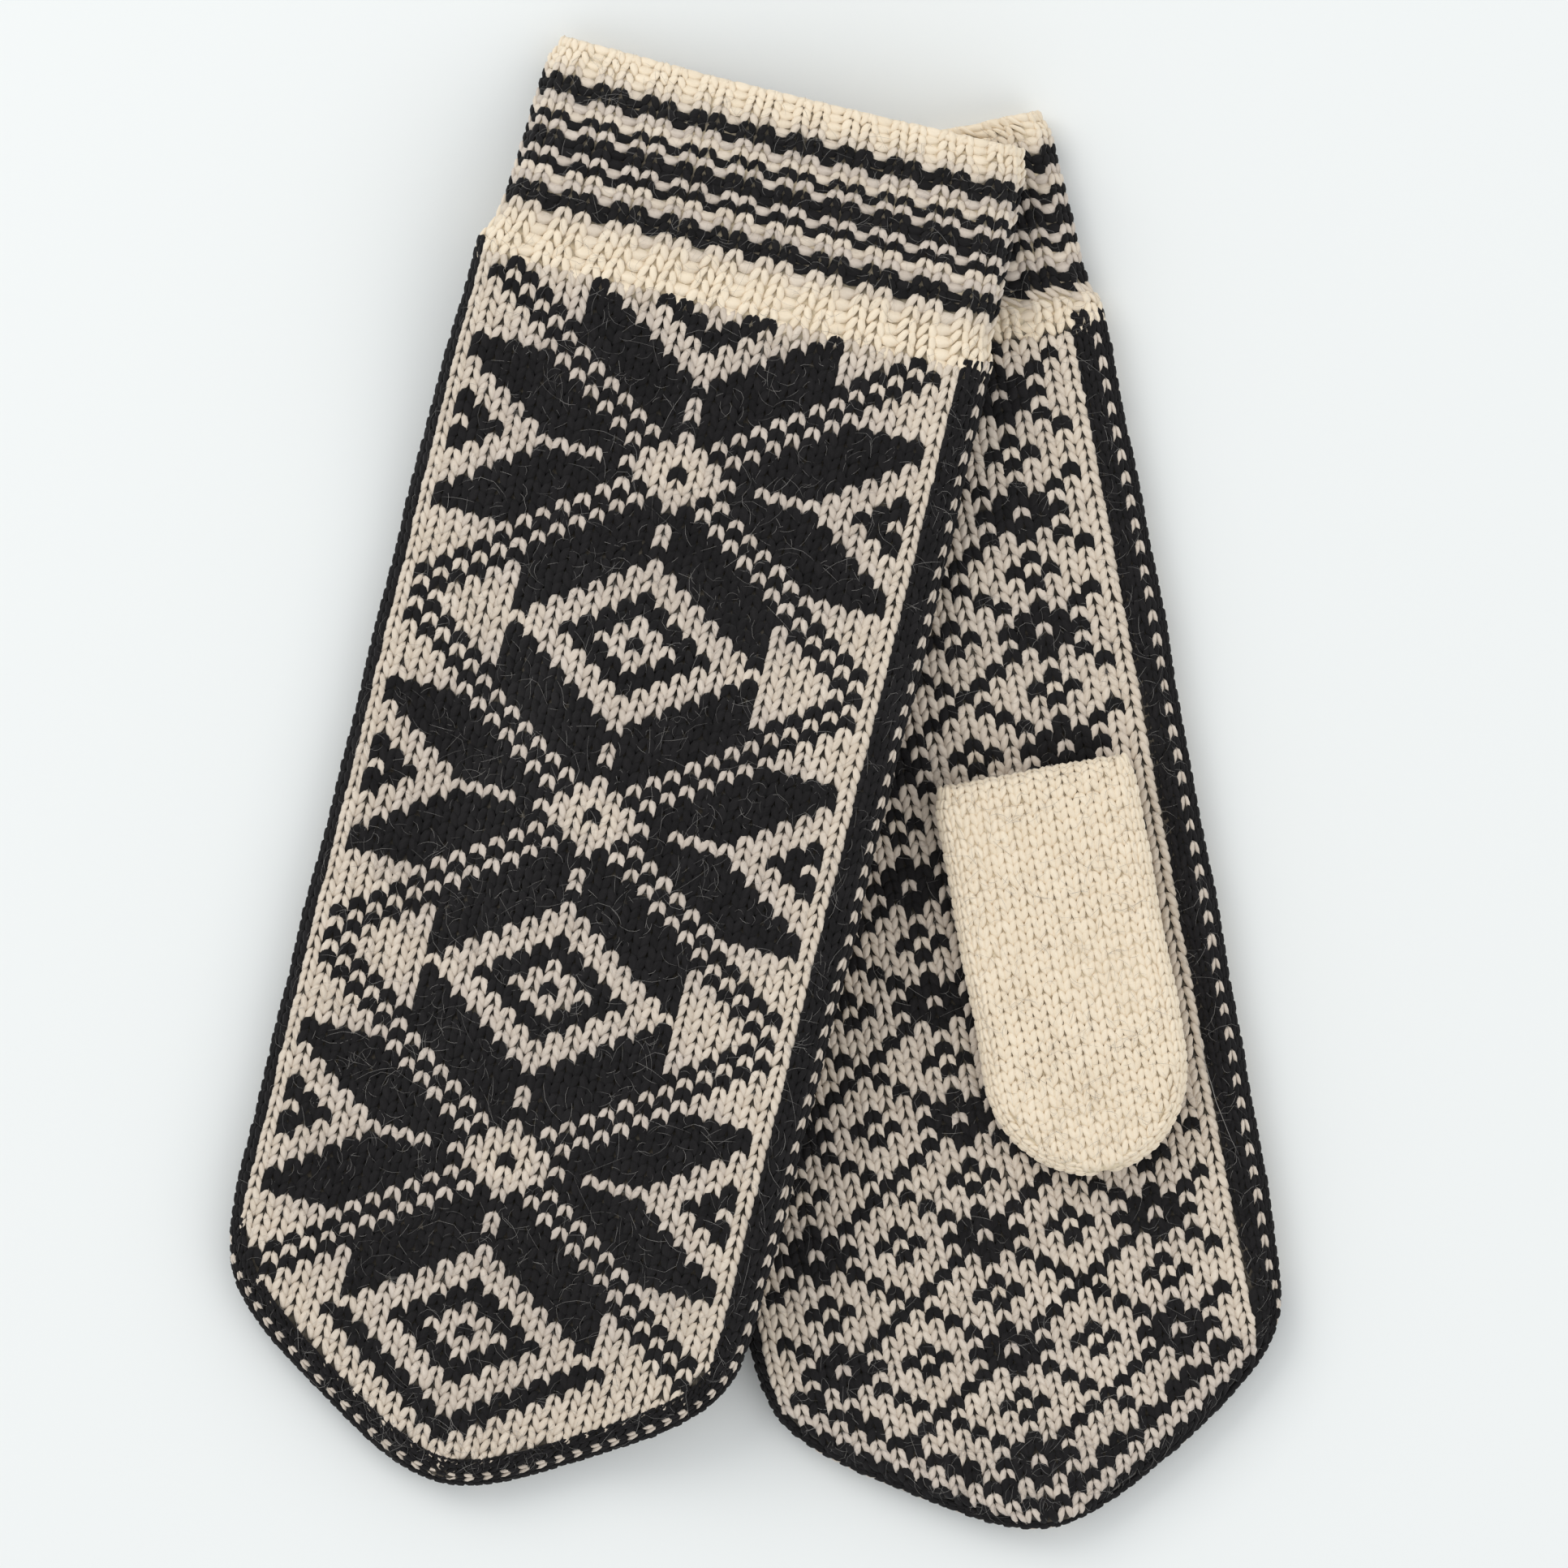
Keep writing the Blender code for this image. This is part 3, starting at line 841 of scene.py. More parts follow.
@dataclass
class Stitches(Batch):
    """Stitches: where each stands, its width and height, its yarn, and how its column leans."""

    x: Array
    y: Array
    wide: Array
    high: Array
    black: Array = False
    open: Array = 1.0
    skew: Array = 0.0

    def legs(self, rng: np.random.Generator, level: float = LEG_LEVEL,
             fullness: float = CREAM_FULLNESS,
             black_fullness: float = BLACK_FULLNESS) -> tuple[Strands, Array]:
        """Two strands for each stitch, meeting towards the cuff.

        A leg runs from a tenth of the width at the cuff's end to nearly half at the far end. It is
        two thirds longer than the row, and its far end dives, so that each row tucks under the next.

        Args:
            rng: the source of the small differences between stitches.
            level: the height of the strands' middle line.
            fullness: a cream strand's half thickness as a share of the width.
            black_fullness: the same for a black strand, which stands higher as it is fuller.

        Returns:
            The strands, and whether each is black.
        """
        count = len(self.x)
        nudge = rng.normal(0, 1, (4, count))
        full = np.where(self.black, black_fullness, fullness)
        raised = np.where(self.black, 0.0025 * (black_fullness - fullness), 0.0)
        parts = []
        for side in (-1.0, 1.0):
            own = rng.normal(0, 1, (3, count))
            size = 1 + 0.05 * nudge[2] + 0.03 * own[0]
            parts.append(Strands(
                x=self.x + self.wide * (side * LEG_OUT + 0.03 * nudge[0]),
                y=self.y + self.high * (0.10 + 0.05 * nudge[1] + 0.04 * own[1]),
                axis_x=self.wide * side * (LEG_SLANT + 0.03 * own[2]) + self.skew * self.high,
                axis_y=self.high * LEG_RUN, wide=self.wide * full * size, tall=LEG_TALL * size,
                level=level + raised + 0.00005 * nudge[3], sink=LEG_SINK,
                bow=-side * self.wide * LEG_BOW, dive=LEG_DIVE,
                tint=np.clip(0.5 + 0.17 * own[0] + 0.12 * nudge[3], 0, 1), open=self.open))
        both = Strands(*[np.concatenate([getattr(p, n) for p in parts]) for n in parts[0].__dict__])
        return both, np.tile(self.black, 2)

    def bumps(self, rng: np.random.Generator, level: float = PURL_LEVEL) -> tuple[Strands, Array]:
        """One strand lying across for each purl stitch, half a row on, sunk below the knit ones.

        Args:
            rng: the source of the small differences between stitches.
            level: the height of the strands' middle line.

        Returns:
            The strands, and whether each is black.
        """
        nudge = rng.normal(0, 1, (3, len(self.x)))
        return Strands(
            x=self.x + self.wide * 0.03 * nudge[0], y=self.y + self.high * (0.5 + 0.04 * nudge[1]),
            axis_x=self.wide * PURL_WIDE, axis_y=self.high * 0.06 * nudge[2],
            wide=self.high * PURL_FULLNESS, tall=PURL_TALL, level=level, sink=PURL_SINK,
            bow=self.high * PURL_BOW, dive=0.0, tint=np.clip(0.45 + 0.2 * nudge[0], 0, 1),
            open=self.open), self.black


# ---------------------------------------------------------------- the charts


def star_chart(column: Array, row: Array) -> Array:
    """Whether a stitch of the back is black: eight-pointed stars, leaves and nested diamonds.

    Rows count from the first star's centre and repeat every 30, folded at 15, and columns are
    folded at the centre. Far from the star the rule is nested diamonds by column + 15 - row; near
    it come the small heart, the vines one off the diagonal, the spine, the side triangles and the
    wedges. After the third star's sixteenth row the diamonds run on to the tip.

    Args:
        column: from the centre column.
        row: from the first star's centre.

    Returns:
        True where the yarn is black.
    """
    c = np.abs(column)
    r = np.abs((row + 15) % 30 - 15)
    ring = c + 15 - r
    rules = [
        (c >= 14, False),
        (ring <= 7, np.isin(ring, (0, 3, 4))),
        ((c == 0) & (r == 0), True),
        (c + r <= 3, False),
        (np.abs(r - c) == 1, False),
        ((r == c) | (r == c + 2), True),
        ((r == 0) & (c == 4), True),
        ((r == 0) & (c >= 5) & (c <= 8), False),
        ((c == 0) & np.isin(r, (5, 6)), False),
        ((c >= 8) & (r >= c + 3), False),
        ((c >= 9) & (r >= 8) & (r <= c - 1), False),
        ((c >= 9) & (r >= c - 10) & (r <= c - 8), False),
        ((c == 13) & (r == 0), False),
    ]
    black = np.select([rule for rule, _ in rules], [value for _, value in rules], True).astype(bool)
    tip = c + (row - 60) - 15
    return np.where(row >= 76, np.isin(tip, (0, 3, 4, 8, 9)), black)


def lattice_chart(column: Array, row: Array) -> Array:
    """Whether a stitch of the palm is black: small flowers every 10 columns and rows.

    Both counts are folded to 0..5. A stitch is black on the diagonals, at 1, 2 and 4 along the
    axes, and where one count is 1 and the other 5. In the tip, column + row of 25 is a black line.

    Args:
        column: from the centre column.
        row: from the last flower's centre.

    Returns:
        True where the yarn is black.
    """
    a, b = np.abs((column + 5) % 10 - 5), np.abs((row + 5) % 10 - 5)
    low, high = np.minimum(a, b), np.maximum(a, b)
    black = ((a == b) & (a >= 1)) | ((low == 0) & np.isin(high, (1, 2, 4))) | ((low == 1) & (high == 5))
    rim = np.abs(column) + row
    black = np.where(rim >= 25, (rim == 25) | (rim >= 28), black)
    return np.where((np.abs(column) >= 14) & (rim < 28), False, black)


def openness(chart: Callable[[Array, Array], Array], column: Array, row: Array, first: int) -> Array:
    """How open the pattern is round each stitch: the cream share of a five by five patch, eased.

    Args:
        chart: the chart.
        column: from its centre column.
        row: from its row 0.
        first: its first row, before which all is cream.

    Returns:
        0 among black stitches, 0.4 in plain cream.
    """
    step = np.arange(-2, 3)
    c = column[:, None, None] + step[None, :, None]
    r = row[:, None, None] + step[None, None, :]
    return 0.4 * smooth(((~(chart(c, r) & (r >= first))).mean((1, 2)) - 0.35) / 0.6)


@dataclass(frozen=True)
class Layout:
    """Where one face's chart sits on its fabric, in metres."""

    stations: tuple[float, ...]      # s of the values below
    centres: tuple[float, ...]       # u of the centre column
    left_pitch: tuple[float, ...]
    right_pitch: tuple[float, ...]
    anchor: float                    # s of row 0
    pitch_up: float                  # row height towards the cuff
    pitch_down: float                # and towards the tip, past row 8
    rows: tuple[int, int]
    slope: float = 0.0               # how far rows fall for each step across

    def row_place(self, row: Array) -> Array:
        """s of a row: even steps each way from the anchor."""
        return self.anchor + np.where(row <= 8, row * self.pitch_up,
                                      8 * self.pitch_up + (row - 8) * self.pitch_down)

    def column_place(self, column: Array, s: Array) -> tuple[Array, Array]:
        """x of a column at s, and its width: even steps each way from the centre column."""
        centre = np.interp(s, self.stations, self.centres)
        left = np.interp(s, self.stations, self.left_pitch)
        right = np.interp(s, self.stations, self.right_pitch)
        pitch = np.where(column < 0, left, right)
        return centre + column * pitch, pitch


@dataclass
class SideBands:
    """The black bands round a hand's two sides, with cream in every other row of the middle."""

    tube: HandTube
    back: Layout
    palm: Layout
    tip_rims: dict[int, tuple[float, float]]    # angles of the first and last column in the tip
    start: float

    def angles(self, side: int, s: Array) -> Array:
        """Angles round the rim of the five columns at s.

        In the body they part the arc between the two faces' border columns evenly. In the tip
        they share the rim between two set angles, the chain the widest, and the two blend over
        the shoulder.

        Args:
            side: 1 or -1.
            s: along the hand.

        Returns:
            Angles, (5, stations).
        """
        straight = self.tube.half_width(np.minimum(s, self.tube.end - TIP_LENGTH)) - self.tube.radius
        border = np.full_like(s, float(BORDER_COLUMN * side))
        first, _ = self.back.column_place(border, s)
        last, _ = self.palm.column_place(border, s)
        half_round = 2 * straight + math.pi * self.tube.radius
        share = (np.arange(1, BAND_COLUMNS + 1) / (BAND_COLUMNS + 1))[:, None]
        arc = np.abs(first) + (half_round - np.abs(last) - np.abs(first)) * share
        body = (arc - straight) / self.tube.radius
        first, last = self.tip_rims[side]
        tip = first + (last - first) * np.array(BAND_SHARES)[:, None]
        return body + (tip - body) * self.turned(s)

    def turned(self, s: Array) -> Array:
        """How far the bands have turned from the body's lines to the rim's, 0 to 1."""
        return smooth((s - self.tube.end + BAND_TURN_START) / BAND_TURN)

    def limit(self, side: Array, s: Array, face: Face) -> Array:
        """The largest edge angle at which a face's own columns still show."""
        limits = []
        for one in (-1, 1):
            angles = self.angles(one, s)
            if face is Face.PALM:
                angles = math.pi - angles[::-1]
            limits.append(angles[0] - 0.5 * (angles[1] - angles[0]))
        return np.where(side < 0, *limits)

    def stitches(self, side: int) -> Stitches:
        """The band's stitches on one side; x is the angle times the radius, y the outline's run."""
        run, s = self.tube.outline[0], self.tube.outline[1]
        body = np.interp(np.arange(self.start, self.tube.end - 0.040, BODY_ROW), s, run)
        first_slant, last_slant = body[-1] + 0.0020, run[-1] - 0.0001
        slant = np.linspace(first_slant, last_slant, round((last_slant - first_slant) / SLANT_ROW))
        rows = np.concatenate([body, slant])
        place = np.interp(rows, run, s)
        angles = self.angles(side, place)
        gap = np.gradient(angles, axis=0) * self.tube.radius
        is_chain = (np.arange(BAND_COLUMNS) == BAND_COLUMNS // 2)[:, None]
        cream = is_chain & (np.arange(len(rows)) % 2 == 0)
        return Stitches(angles * self.tube.radius, rows, gap, np.gradient(rows), ~cream,
                        BAND_OPENNESS * cream, 0.6 * np.cos(angles) * self.turned(place))


# ---------------------------------------------------------------- lining


@dataclass
class Lining:
    """The fabric's own body behind the strands: an outer and an inner skin, joined at the mouth."""

    tube: FlatTube
    name: str
    outer: float = 0.0011
    inner: float = 0.0021
    around: int = 96
    rows: int = 110
    pitch: float = BODY_ROW

    def loops(self, inset: float, stations: Array) -> Array:
        """Closed rings of points at stations, inset from the surface.

        A ring runs round the section by an even share: the straight runs and the half ellipses
        in turn. The rings' stations are squeezed so that the last one stands inset from the apex.

        Args:
            inset: distance under the surface.
            stations: s of each ring.

        Returns:
            Points (stations, around, 3).
        """
        share = np.arange(self.around) / self.around * 4
        straight, reach, height, _, lean = (v[:, None] for v in self.tube.section(stations))
        quarter = share % 1.0
        which = (share // 1).astype(int)
        bend = np.clip((quarter - 0.7) / 0.3, 0, 1)
        fold = np.clip(quarter / 0.3, 0, 1)
        turn = np.where(which % 2 == 0, bend, 1 - fold)
        level = np.where(which % 2 == 0, quarter / 0.7, (1 - quarter) / 0.7)
        run = np.clip(level, 0, 1)
        around = turn * math.pi / 2
        side = np.where((which == 0) | (which == 1), 1.0, -1.0)
        up = np.where((which == 0) | (which == 3), 1.0, -1.0)
        room = np.maximum(reach - inset / lean, reach * 0.05)
        if self.tube.is_thumb:
            risen = np.clip((stations[:, None] - self.tube.start) / self.tube.radius, 0.0, 1.0)
            height = height * np.sqrt(1 - (1 - risen) ** 2)
        u = side * (straight * run + room * np.sin(around))
        rise = up * np.maximum(height - inset, height * 0.05) * np.cos(around)
        w = self.tube.middle - rise
        s = np.broadcast_to(stations[:, None], u.shape)
        return self.tube.settle(u, s, w)

    def make(self, material: bpy.types.Material, shade: Callable[[Array], Array],
             is_open: bool) -> bpy.types.Object:
        """Builds the lining.

        The outer rings run from the mouth to the apex, and the inner ones the same way inside
        them. Both are closed at the apex by a point. An open one has its two mouths joined by a
        ring; a closed one has each mouth closed by a point.

        Args:
            material: the finish.
            shade: the shade at s, 0 dark to 1 pale.
            is_open: whether its start is an open mouth.

        Returns:
            The piece.
        """
        t = np.linspace(0.0, 1.0, self.rows)
        start = self.tube.start if self.tube.is_thumb else 0.0
        shells, levels = [], []
        for inset in (self.outer, self.inner):
            low = start + (inset if self.tube.is_thumb else 0.0008)
            stations = low + (self.tube.end - inset * 1.2 - low) * (1 - (1 - t) ** 1.6)
            shells.append(self.loops(inset, stations))
            levels.append(stations)
        size = self.rows * self.around
        ring = np.arange(self.around)
        nxt = (ring + 1) % self.around
        row = (np.arange(self.rows - 1) * self.around)[:, None]
        wall = np.stack([row + ring, row + nxt, row + nxt + self.around, row + ring + self.around], -1)
        wall = wall.reshape(-1, 4)
        apex = [2 * size, 2 * size + 1]
        last = (self.rows - 1) * self.around
        tops = [np.stack([np.full(self.around, apex[k]), k * size + last + nxt, k * size + last + ring], -1)
                for k in (0, 1)]
        points = [shells[0].reshape(-1, 3), shells[1].reshape(-1, 3),
                  shells[0][-1].mean(0)[None], shells[1][-1].mean(0)[None]]
        s_values = [np.repeat(levels[0], self.around), np.repeat(levels[1], self.around),
                    levels[0][-1:], levels[1][-1:]]
        quads = [wall, wall[:, ::-1] + size]
        triangles = [tops[0], tops[1][:, ::-1]]
        if is_open:
            quads.append(np.stack([ring, ring + size, nxt + size, nxt], -1))
        else:
            points += [shells[0][0].mean(0)[None], shells[1][0].mean(0)[None]]
            s_values += [levels[0][:1], levels[1][:1]]
            triangles.append(np.stack([np.full(self.around, 2 * size + 2), ring, nxt], -1))
            triangles.append(np.stack([np.full(self.around, 2 * size + 3), nxt + size, ring + size], -1))
        place, s = np.concatenate(points), np.concatenate(s_values)
        quad, triangle = np.concatenate(quads), np.concatenate(triangles)
        halves = np.concatenate([triangle, quad[:, [0, 1, 2]], quad[:, [0, 2, 3]]])
        a, b, c = (place[halves[:, i]] - place.mean(0) for i in range(3))
        if np.einsum("ij,ij->", a, np.cross(b, c)) < 0:
            quad, triangle = quad[:, ::-1], triangle[:, ::-1]
        loops = np.concatenate([triangle.ravel(), quad.ravel()])
        sizes = np.concatenate([np.full(len(triangle), 3), np.full(len(quad), 4)])
        mesh = mesh_of(self.name, place, loops, sizes)
        across = np.concatenate([np.tile(ring, 2 * self.rows), np.zeros(len(place) - 2 * size)])
        weave = np.stack([across * 68 / self.around, s / self.pitch], -1)
        add_uv(mesh, "rows", weave[loops])
        add_value(mesh, "shade", shade(s))
        log.info("%s: %d triangles", self.name, int((sizes - 2).sum()))
        return piece_of(mesh, material)


# ---------------------------------------------------------------- one mitten


# The frame's nodes that each piece stands for
STANDS_FOR = {
    "cast_on_edge": ("cuff_welt",), "cuff_cream_yarn": ("cuff_welt", "cuff_rib"),
    "cuff_black_yarn": ("cuff_rib",), "back_cream_yarn": ("back_panel",),
    "back_black_yarn": ("back_panel",), "palm_cream_yarn": ("palm_panel",),
    "palm_black_yarn": ("palm_panel",), "thumb_cream_yarn": ("thumb",),
    "side_band_cream_yarn": ("thumb_side_band", "outer_side_band"),
    "side_band_black_yarn": ("thumb_side_band", "outer_side_band"),
}


@dataclass
class Mitten:
    """One mitten: its hand, cuff, side bands and thumb."""

    lie: Lie
    back: Layout
    palm: Layout
    tip_rims: dict[int, tuple[float, float]]
    wardrobe: Wardrobe
    seed: int
    welt: float                  # s where the stripes start
    stripes_end: float
    pattern_start: float
    cuff_columns: int = 63
    thumb_pitch: float = 0.00270
    thumb_row: float = 0.00217
    pieces: dict[str, StrandPiece] = field(default_factory=dict)

    def __post_init__(self) -> None:
        """Sets up the tubes, the bands and the source of small differences."""
        self.rng = np.random.default_rng(self.seed)
        self.hand = HandTube(self.lie)
        self.thumb = ThumbTube(self.lie)
        self.bands = SideBands(self.hand, self.back, self.palm, self.tip_rims,
                               self.pattern_start - 0.0016)

    def piece(self, part: str, shape: StrandShape = STITCH_LEG) -> StrandPiece:
        """The piece of a part's strands, started when it is first asked for."""
        name = f"{self.lie.name}_{part}"
        return self.pieces.setdefault(name, StrandPiece(name, shape))

    def share_out(self, made: tuple[Strands, Array], part: str,
                  carry: Carry) -> None:
        """Sends a part's strands to its cream and its black piece."""
        strands, black = made
        for yarn, mask in ((Yarn.CREAM, ~black), (Yarn.BLACK, black)):
            if mask.any():
                self.piece(f"{part}_{yarn.value}_yarn").gather(strands.pick(mask), carry)

    def knit_face(self, face: Face) -> None:
        """Knits the back or the palm between the side bands, from the cuff to the tip.

        The three black columns past the chart fill the shoulders, where the bands turn to the rim.
        """
        layout = self.back if face is Face.BACK else self.palm
        chart = star_chart if face is Face.BACK else lattice_chart
        last = BORDER_COLUMN + SHOULDER_COLUMNS
        grid = np.meshgrid(np.arange(-last, last + 1), np.arange(*layout.rows))
        column, row = (v.ravel() for v in grid)
        s = layout.row_place(row.astype(float))
        x, wide = layout.column_place(column.astype(float), s)
        s = s + layout.slope * x
        straight, reach, *_ = self.hand.section(np.minimum(s, self.hand.end - 1e-4))
        angle = (np.abs(x) - straight) / reach
        keep = (angle < self.bands.limit(np.sign(x), s, face)) & (s < self.hand.end - 0.0015)
        column, row, s, x, wide = (v[keep] for v in (column, row, s, x, wide))
        high = np.where(row <= 8, layout.pitch_up, layout.pitch_down)
        stitches = Stitches(x, s, wide, high, chart(column, row) | (np.abs(column) > BORDER_COLUMN),
                            openness(chart, column, row, layout.rows[0]))
        self.share_out(stitches.legs(self.rng), face.value,
                       lambda a, b, h: self.hand.wrap(a, np.minimum(b, self.hand.end - 2e-5), h, face))

    def knit_bands(self) -> None:
        """Knits the two side bands round the rim to the fingertip."""
        radius = self.hand.radius
        for side in (-1, 1):
            self.share_out(self.bands.stitches(side).legs(self.rng), "side_band",
                           lambda a, b, h, side=side: self.hand.rim(side, a / radius, b, h))

    def cuff_rows(self) -> tuple[Array, Array, Array]:
        """The cuff's rows.

        Returns:
            s of each row's middle, its height, and whether it is black.
        """
        plain = max(1, round((self.pattern_start - self.stripes_end) / BODY_ROW))
        middles, heights, black = [], [], []
        for low, high, rows in ((0.0, self.welt, (-WELT_ROWS,)), (self.welt, self.stripes_end, STRIPES),
                                (self.stripes_end, self.pattern_start, (-plain,))):
            count = sum(abs(n) for n in rows)
            middles.append(low + (np.arange(count) + 0.5) / count * (high - low))
            heights.append(np.full(count, (high - low) / count))
            black.append(np.repeat(np.array(rows) > 0, np.abs(rows)))
        return np.concatenate(middles), np.concatenate(heights), np.concatenate(black)

    def knit_cuff(self) -> None:
        """Knits the cuff in a rib of two knit and one purl, in stripes, with its cast-on edge."""
        s, high, black = self.cuff_rows()
        half = 2 * (self.hand.half_width(s) - self.hand.radius) + math.pi * self.hand.radius
        wide = 2 * half / self.cuff_columns
        pale = 1 - np.convolve(np.pad(black.astype(float), 2), np.ones(5) / 5, "valid")
        pale = smooth((pale - 0.3) / 0.7)
        s, high, black, wide, pale = (v[:, None] for v in (s, high, black, wide, pale))
        column = np.arange(self.cuff_columns) - self.cuff_columns // 2
        x = column * wide
        purl = np.broadcast_to(column % 3 == 0, x.shape).ravel()
        lean = np.where(column % 3 == 1, -0.07, 0.07) * wide
        carry = lambda a, b, h: self.hand.wrap(a, b, h, Face.BACK)
        knit = Stitches(x + lean, s, wide * 1.03, high, black, pale).pick(~purl)
        self.share_out(knit.legs(self.rng, level=-0.00066, fullness=0.250, black_fullness=0.258),
                       "cuff", carry)
        bumps = Stitches(x, s, wide, high, black, pale).pick(purl)
        self.share_out(bumps.bumps(self.rng), "cuff", carry)
        strands, _ = Stitches(x[0], -0.0006, wide[0], 0.0017).bumps(self.rng, level=-0.0010)
        self.piece("cast_on_edge").gather(strands, carry)

    def knit_thumb(self) -> None:
        """Knits the plain thumb: thirteen columns on each face and four round each side."""
        tube, pitch, high = self.thumb, self.thumb_pitch, self.thumb_row
        rows = np.arange(0.6, (THUMB_LENGTH + tube.run_up) / high - 0.4)
        column, row = (v.ravel() for v in np.meshgrid(np.arange(-6, 7), rows))
        y, x = row * high, column * pitch
        s, *_ = tube.along(y)
        straight, reach, *_ = tube.section(np.minimum(s, tube.end - 1e-4))
        on_face = (np.abs(x) - straight) / reach < THUMB_EDGE
        faces = Stitches(x, y, pitch, high).pick(on_face)
        apart = (math.pi - 2 * THUMB_EDGE) / 4
        angle, along = np.meshgrid(THUMB_EDGE + (np.arange(4) + 0.5) * apart,
                                   np.arange(0.0016, tube.outline[0, -1] - 0.0006, high))
        sides = Stitches(angle * tube.radius, along, apart * tube.radius, high)
        last = THUMB_LENGTH + tube.run_up - 2e-5
        parts = [(faces, lambda a, b, h, face=face: tube.wrap(a, np.minimum(b, last), h, face))
                 for face in (Face.BACK, Face.PALM)]
        parts += [(sides, lambda a, b, h, side=side: tube.rim(side, a / tube.radius, b, h))
                  for side in (-1, 1)]
        for stitches, carry in parts:
            strands, _ = stitches.legs(self.rng, fullness=THUMB_FULLNESS)
            self.piece("thumb_cream_yarn").gather(strands, carry)

    def fuzz(self, part: str, tube: FlatTube, face: Face, count: int, low: float, high: float) -> None:
        """Stray hairs standing off a face: thin bowed strands at scattered places and turns.

        Args:
            part: the piece they belong to.
            tube: the tube they stand on.
            face: the face they stand on.
            count: how many.
            low: the least distance along.
            high: the most.
        """
        rng = self.rng
        y = rng.uniform(low, high, count)
        s, *_ = tube.along(y)
        x = rng.uniform(-1, 1, count) * (tube.half_width(s) - tube.radius * 0.35)
        turn = rng.uniform(0, math.pi, count)
        size = rng.gamma(2.2, 0.0015, count) + 0.0010
        strands = Strands(
            x, y, size * np.cos(turn), size * np.sin(turn), wide=HAIR_RADIUS, tall=HAIR_RADIUS,
            level=rng.uniform(-0.0001, 0.0003, count), sink=rng.uniform(0.0002, 0.0005, count),
            bow=rng.normal(0, 0.24, count) * size, dive=rng.normal(0, 0.0003, count),
            tint=rng.uniform(0, 1, count))
        last = THUMB_LENGTH + 0.002 if tube.is_thumb else tube.end - 2e-5
        self.piece(part, STRAY_FIBRE).gather(
            strands, lambda a, b, h: tube.wrap(a, np.clip(b, 1e-4, last), h, face))

    def loose_hair(self) -> None:
        """One long pale hair that lies loose over the palm's side band."""
        hair = Strands(np.array([0.0462]), y=0.190, axis_x=0.0030, axis_y=0.031, wide=0.00005,
                       tall=0.00005, level=0.00035, sink=0.0003, bow=0.0016, dive=0.0, tint=1.0)
        self.piece("hand_stray_hairs", STRAY_FIBRE).gather(
            hair, lambda a, b, h: self.hand.wrap(a, b, h, Face.PALM))

    def finish_of(self, part: str) -> bpy.types.Material:
        """The finish of a part's strands."""
        if "hairs" in part:
            return self.wardrobe.hair
        return self.wardrobe.black if "black" in part else self.wardrobe.cream

    def build(self) -> None:
        """Knits every part, makes its pieces, and sets the hand's pieces on the hand's body."""
        name = self.lie.name
        self.knit_cuff()
        self.knit_bands()
        for face in Face:
            self.knit_face(face)
            self.fuzz("hand_stray_hairs", self.hand, face, HAND_HAIRS, 0.002, self.hand.end - 0.004)
        if self.lie.palm_up:
            self.loose_hair()
        self.knit_thumb()
        self.fuzz("thumb_stray_hairs", self.thumb, Face.PALM, THUMB_HAIRS, 0.001, THUMB_LENGTH - 0.001)
        for full, strands in self.pieces.items():
            part = full[len(name) + 1:]
            piece = strands.make(self.finish_of(part))
            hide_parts(*[f"{name}_{node}" for node in STANDS_FOR.get(part, ())])
            self.attach(piece, part.startswith("thumb"))
        ground = self.wardrobe.ground
        lining = Lining(self.hand, f"{name}_hand_lining").make(ground, self.ground_shade, True)
        self.attach(lining, False)
        lining = Lining(self.thumb, f"{name}_thumb_lining", outer=0.0010, inner=0.0018, rows=50).make(
            ground, np.ones_like, False)
        self.attach(lining, True)

    def ground_shade(self, s: Array) -> Array:
        """Pale behind the plain cuff rows, dark behind black stripes and in the patterned hand."""
        rows, _, black = self.cuff_rows()
        nearest = np.abs(s[:, None] - rows[None]).argmin(1)
        return np.where(s > self.pattern_start, 0.06, np.where(black[nearest], 0.10, 0.85))

    def attach(self, piece: bpy.types.Object, is_thumb: bool) -> None:
        """Sets a piece on the hand's body, or bakes a thumb piece's transform into its mesh."""
        hand, thumb = f"{self.lie.name}_mitten", f"{self.lie.name}_thumb"
        if not is_thumb:
            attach(piece, hand)
            return
        for past_base in THUMB_BLEND:
            x, y = self.lie.on_surface(THUMB_OFFSET, self.lie.thumb_base + past_base)
        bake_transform(piece)


# ---------------------------------------------------------------- the room


